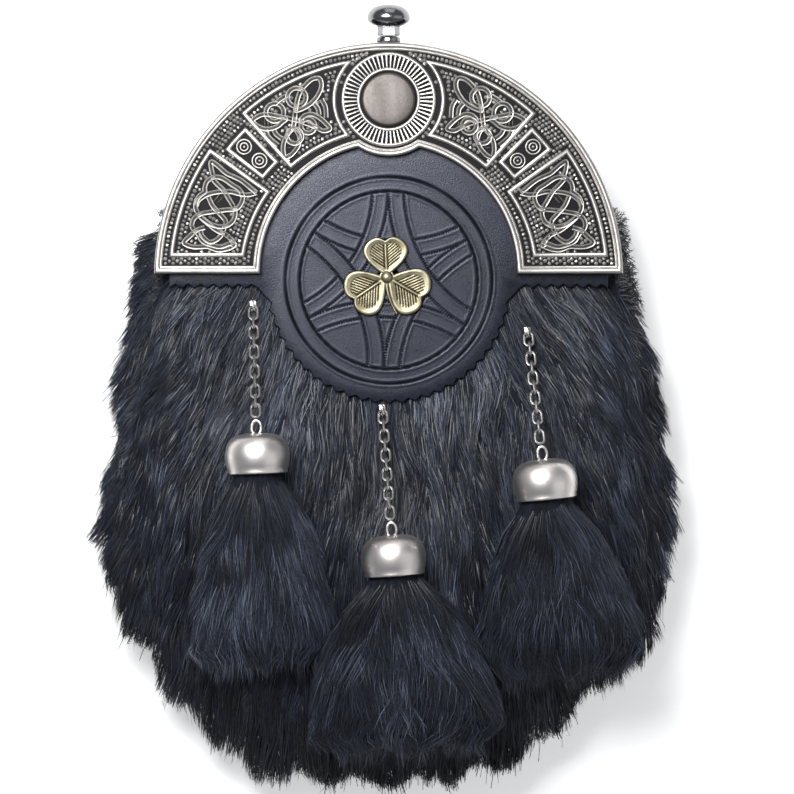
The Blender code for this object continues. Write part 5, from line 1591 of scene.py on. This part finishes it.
# %% The panel
MOUTH_UP = -3.0
MOUTH_HALF = 38.0  # half the slot's length between its round ends
MOUTH_R = 10.0
BELLY_HALF = np.array([58.0, 48.0])
BELLY_DOWN = 86.0
LEATHER = 2.0
SEAM_INSET = 2.1
CREASE_INSET = 4.3
RIM_POINTS = 216


def panel_rim():
    """The border's edge, measured by rays on the CAD panel and smoothed, anticlockwise."""
    tree = node_tree("back_panel")
    middle = Vector((0, -40, BACK_Z + 1))
    spots = []
    for turn in np.arange(RIM_POINTS) * math.tau / RIM_POINTS:
        way = Vector((math.cos(turn), math.sin(turn), 0))
        spots.append(tree.ray_cast(middle + way * 200, -way)[0][:2])
    rim = np.array(spots)
    for _ in range(12):
        rim = (np.roll(rim, 1, 0) + rim + np.roll(rim, -1, 0)) / 3
    return rim


def slot_edge(rim):
    """For each point of the rim, the point of the mouth's edge that lies straight inwards of it."""
    way = unit(rim - (0, MOUTH_UP))
    low, high = np.zeros(len(rim)), np.full(len(rim), 80.0)
    for _ in range(30):
        half = (low + high) / 2
        x, y = np.abs(way[:, 0] * half), way[:, 1] * half
        inside = np.hypot(np.clip(x - MOUTH_HALF, 0, None), y) < MOUTH_R
        low, high = np.where(inside, half, low), np.where(inside, high, half)
    return way * high[:, None] + (0, MOUTH_UP)


def belly_drop(flat):
    far = np.linalg.norm((flat - (0, -BELLY_DOWN)) / BELLY_HALF, axis=-1)
    return BACK_Z * smooth_step((1 - far) / 0.45)


def panel_height(inset, left):
    """How far the panel's outside lies under its plain face, by the distance from its two edges."""
    rounded = 0.7 * (1 - np.clip(np.minimum(inset, left) / 0.8, 0, 1)) ** 2
    crease = 0.28 * np.exp(-(((inset - CREASE_INSET) / 0.32) ** 2))
    seam = 0.22 * np.exp(-(((inset - SEAM_INSET) / 0.7) ** 2))
    return rounded + crease + seam


# %% The panel's sheet
rim = panel_rim()
print("panel, mm:", np.ptp(rim, axis=0).round(1))
slot = slot_edge(rim)
span = np.linalg.norm(slot - rim, axis=1)
NEAR_RIM = np.array([0, 0.1, 0.3, 0.8, 1.3, 1.7, 2.1, 2.5, 3.0, 3.7, 3.95, 4.15, 4.3, 4.45, 4.65, 4.9, 6.0])
insets = np.concatenate([
    np.repeat(NEAR_RIM[None], len(rim), 0),
    6 + (span - 7)[:, None] * np.linspace(0, 1, 24)[None, 1:],
    span[:, None] - np.array([0.6, 0.3, 0.1, 0.0])[None],
], 1)  # fmt: skip
flat = rim[:, None] + (slot - rim)[:, None] * (insets / span[:, None])[..., None]
sunk = panel_height(insets, span[:, None] - insets)
outside = np.dstack([flat, BACK_Z - belly_drop(flat) + sunk])
inside = np.dstack([flat, BACK_Z + LEATHER - belly_drop(flat) - 0.7 * (sunk > 0.4)])[:, ::-1]
sheet_rings = np.concatenate([outside, inside], 1)
bm = bmesh.new()
add_rings(bm, sheet_rings)
finish_piece("sewn_back_panel", bm, BACK_LEATHER, ["back_panel"], smooth=60)

# %% [markdown]
# The front wall is all but hidden by the fur. Its CAD shape is kept, welded and shaded smoothly, and its sewn
# border is swept afresh along the panel's rim, so that the two layers of the seam lie one on the other.

# %% Front wall and border
shell_bm = bmesh.new()
shell_bm.from_mesh(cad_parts["pouch_front"].data)
bmesh.ops.scale(shell_bm, vec=(1 / MM, 1 / MM, 1 / MM), verts=shell_bm.verts)
bmesh.ops.translate(shell_bm, vec=(0, -CENTRE_Y, 0), verts=shell_bm.verts)
finish_piece("pouch_wall", shell_bm, BACK_LEATHER, ["pouch_front"], smooth=45)
bm = bmesh.new()
layer = [(0.0, 0.6), (0.2, 0.2), (0.6, 0.0), (4.6, 0.0), (4.6, 2.0), (0.6, 2.0), (0.2, 1.8), (0.0, 1.4)]
add_sweep(bm, with_height(rim, BACK_Z + LEATHER + 0.3), layer, closed=True)
finish_piece("front_border", bm, BACK_LEATHER, smooth=50)

# %% [markdown]
# ## Seams
# The seams are saddle stitched with waxed thread: each stitch is a short thread that leans a little and dives
# into the leather at both ends. One sweep of five points makes a stitch, and they are laid along a line.

# %% Stitches
THREAD_R = 0.34
STITCH = 3.0
STITCH_PITCH = 4.1
STITCH_LEAN = math.radians(10.0)
STITCH_DIVE = ((-0.5, 0.45), (-0.32, 0), (0, -0.08), (0.32, 0), (0.5, 0.45))  # share of its length, and rise


def add_stitches(bm, line, closed=False):
    """Stitches on the underside of the leather, along a line of (x, y, height)."""
    lean = np.array(((math.cos(STITCH_LEAN), -math.sin(STITCH_LEAN)), (math.sin(STITCH_LEAN), math.cos(STITCH_LEAN))))
    line = np.vstack([line, line[:1]]) if closed else np.asarray(line, float)
    far = np.concatenate([[0], np.cumsum(np.linalg.norm(np.diff(line, axis=0), axis=1))])
    count = max(int(round(far[-1] / STITCH_PITCH)), 1)
    for middle in (np.arange(count) + 0.5) * far[-1] / count:
        ends = [np.array([np.interp(middle + s, far, line[:, k]) for k in range(3)]) for s in (-0.5, 0.5)]
        way = unit(ends[1] - ends[0])
        way = np.array([*(lean @ way[:2]), way[2]])
        spot = (ends[0] + ends[1]) / 2
        path = [spot + way * STITCH * share + (0, 0, rise) for share, rise in STITCH_DIVE]
        add_sweep(bm, path, circle_profile(THREAD_R, 6), swell=(0.8, 1, 1, 1, 0.8))
    return count


bm = bmesh.new()
seam = rim + (slot - rim) * (SEAM_INSET / span)[:, None]
made = add_stitches(bm, with_height(seam, BACK_Z + 0.12), closed=True)
finish_piece("border_stitches", bm, THREAD, smooth=60)
print("border stitches:", made)

# %% [markdown]
# ## Rear flap, stud and belt loops
# The rear flap is a plate of leather with rounded edges and a crease along its border: a bevel rounds it, and
# two insets press the crease. The loops are straps whose feet are sewn to the panel above the flap.

# %% Rear flap and stud
REAR_LOW, REAR_TOP, REAR_HALF = -21.0, 11.0, 56.0
REAR_Z = BACK_Z - 0.3
TAB_R = 11.0


def rear_outline(inset=0.0):
    """The rear flap's outline at an inset: rounded corners, and a tab in the middle for the stud."""
    half = [arc((0, REAR_LOW), TAB_R - inset, -90, -16, 12), arc((14, REAR_LOW - 3), 3 + inset, 180, 90, 6)]
    half += [arc((REAR_HALF - 8, REAR_LOW + 8), 8 - inset, -90, 0, 8)]
    half += [arc((REAR_HALF - 3, REAR_TOP - 3), 3 - inset, 0, 90, 4)]
    right = np.vstack(half)
    return np.vstack([right, right[::-1] * (-1, 1)])


bm = bmesh.new()
outline = rear_outline()[1:]
add_plate(bm, outline, REAR_Z - LEATHER, REAR_Z)
bmesh.ops.recalc_face_normals(bm, faces=bm.faces)
level_edges = [e for e in bm.edges if abs(e.verts[0].co.z - e.verts[1].co.z) < 1e-4]
round_edges(bm, level_edges, 0.55, 3)
below = min(bm.faces, key=lambda f: f.calc_center_median().z - 0.001 * f.calc_area())
for width, deep in ((3.1, 0.0), (0.28, -0.24), (0.28, 0.24)):
    bmesh.ops.inset_region(bm, faces=[below], thickness=width, depth=deep, use_even_offset=True)
finish_piece("creased_rear_flap", bm, BACK_LEATHER, ["rear_flap"], smooth=35)
bm = bmesh.new()
add_stitches(bm, with_height(rear_outline(2.1), REAR_Z - LEATHER - 0.02), closed=True)
finish_piece("rear_flap_stitches", bm, THREAD, smooth=60)
bm = bmesh.new()
stud = [
    (0, 0), (5, 0), (5, 0.5), (4.85, 0.8), (4.5, 0.95), (4.3, 0.85), (4.1, 1.05), (3.4, 1.55), (2.2, 1.88), (0, 2.0),
]  # fmt: skip
stud_place = Matrix.Translation((0, REAR_LOW - 0.45 * TAB_R, REAR_Z - LEATHER - 0.3))
add_lathe(bm, stud, 48, stud_place @ Matrix.Rotation(math.pi, 4, "X"))
finish_piece("domed_stud", bm, BELL_METAL, ["flap_stud"], smooth=40)

# %% Belt loops
LOOP_START = 13.0
LOOP_SIDE = 24.0
STRAP_HALF = 11.4  # half its width between the rounded edges
STRAP_ROUND = 0.6
loop_run = smooth_line(
    [(0, 6), (2.5, 6), (5, 5.95), (6.7, 4.7), (8, 2.2), (9.4, 1.1), (11, 1), (14, 1), (21, 1), (28, 1), (31, 1)]
    + [(32.6, 1.1), (34, 2.2), (35.3, 4.7), (37, 5.95), (39.5, 6), (42, 6)],
    False,
)
corners = ((1, 1, 0), (-1, 1, 90), (-1, -1, 180), (1, -1, 270))
strap = np.vstack([arc((x * STRAP_HALF, y * 0.4), STRAP_ROUND, start, start + 90, 3) for x, y, start in corners])
for name, middle in (("left", -LOOP_SIDE), ("right", LOOP_SIDE)):
    bm = bmesh.new()
    height = np.maximum(loop_run[:, 1], 1.0)
    path = np.column_stack([np.full(len(loop_run), middle), LOOP_START + loop_run[:, 0], height])
    add_sweep(bm, path, strap)
    finish_piece("strap_loop_" + name, bm, BACK_LEATHER, ["belt_loop_" + name], smooth=50)
    bm = bmesh.new()
    for far in (1.5, 3.7, 38.3, 40.5):
        row = [(middle + x, LOOP_START + far, REAR_Z - LEATHER - 0.02) for x in (-10.2, 10.2)]
        add_stitches(bm, np.array(row))
    finish_piece("loop_stitches_" + name, bm, THREAD, smooth=60)

# %% [markdown]
# ## Staples
# A chain hangs from a staple: a wire arch on a small plate that is fixed to the hide. The plate is a cube with
# bevelled edges and the arch is a swept wire, both set to the place and turn of the CAD staple.

# %% Chain staples
for name in TASSEL_NAMES:
    points = node_points("chain_staple_" + name)
    way = trunks[name]["way"]
    side = np.array([-way[1], way[0]])
    low, top = points[:, 2].min(), points[:, 2].max()
    foot = points[points[:, 2] < low + 0.05][:, :2]
    reach = [(np.ptp(foot @ d) / 2, (np.max(foot @ d) + np.min(foot @ d)) / 2) for d in (way, side)]
    middle = way * reach[0][1] + side * reach[1][1]
    turn = Matrix(((way[0], side[0], 0), (way[1], side[1], 0), (0, 0, 1))).to_4x4()
    bm = bmesh.new()
    bmesh.ops.create_cube(bm, size=1)
    bmesh.ops.scale(bm, vec=(2 * reach[0][0], 2 * reach[1][0], 0.6), verts=bm.verts)
    round_edges(bm, bm.edges[:], 0.15, 2)
    bmesh.ops.transform(bm, matrix=Matrix.Translation((*middle, low + 0.3)) @ turn, verts=bm.verts)
    half, crown = 1.23, top - WIRE / 2
    leg = [(-half, low + 0.3), (-half, crown - 0.5), (-half + 0.35, crown)]
    wire = smooth_line(leg + [(-far, height) for far, height in leg[::-1]], False, per=4)
    path = [(*(middle + way * far), height) for far, height in wire]
    add_sweep(bm, path, circle_profile(WIRE / 2, 10), up=(side[0], side[1], 0))
    finish_piece("wire_staple_" + name, bm, CHAIN_METAL, ["chain_staple_" + name], smooth=45)

# %% [markdown]
# ## The camera and light
# The photograph looks straight down on the sporran from far away. A long lens keeps the sides from showing.
# A pale table, a small soft light above its upper left and two broad ones, from the right and from beyond the
# knob, stand in for the studio.

# %% Camera, floor and lights
PIXEL = 0.3241  # millimetres that a pixel of the photograph covers at the cantle
PHOTO_SIDE = 794
CAMERA_UP = 1.4
CAMERA_SPOT = (2.72, -38.9)  # where it looks, in millimetres from the cantle's centre
SENSOR = 36.0
camera_data = bpy.data.cameras.new("camera")
camera = link_object("camera", camera_data)
scene.camera = camera
camera.location = (CAMERA_SPOT[0] * MM, (CENTRE_Y + CAMERA_SPOT[1]) * MM, CAMERA_UP)
camera_data.sensor_width = SENSOR
camera_data.lens = SENSOR * (CAMERA_UP - GROUND_Z * MM) / (PIXEL * MM * PHOTO_SIDE)
camera_data.clip_end = 20
print("lens, mm:", round(camera_data.lens, 1))

floor_mesh = bpy.data.meshes.new("floor")
bm = bmesh.new()
bmesh.ops.create_grid(bm, x_segments=1, y_segments=1, size=4, matrix=Matrix.Translation((0, 0, -0.0003)))
bm.to_mesh(floor_mesh)
bm.free()
floor = link_object("floor", floor_mesh)
paper = {"Base_Color": (0.93, 0.93, 0.93, 1), "Emission_Color": (1.0, 1.0, 1.0, 1), "Emission_Strength": 0.45}
floor_mesh.materials.append(new_finish("pale_paper", 0.9, 0.0, **paper)[0])


def add_light(name, place, size, power):
    data = bpy.data.lights.new(name, "AREA")
    data.size, data.energy = size, power
    light = link_object(name, data)
    light.location = place
    light.visible_camera = False
    light.rotation_euler = (Vector((0, 0, 0)) - Vector(place)).to_track_quat("-Z", "Y").to_euler()


add_light("key", (-0.1, 0.17, 0.42), 0.22, 2.7)
add_light("fill", (1.1, -0.2, 0.9), 1.2, 2.6)
add_light("top", (0.1, 1.2, 0.5), 0.8, 2.0)
world = bpy.data.worlds.new("studio")
scene.world = world
world.use_nodes = True
world.node_tree.nodes["Background"].inputs["Color"].default_value = (0.9, 0.93, 1.0, 1)
world.node_tree.nodes["Background"].inputs["Strength"].default_value = 0.24
scene.view_settings.view_transform = "Standard"
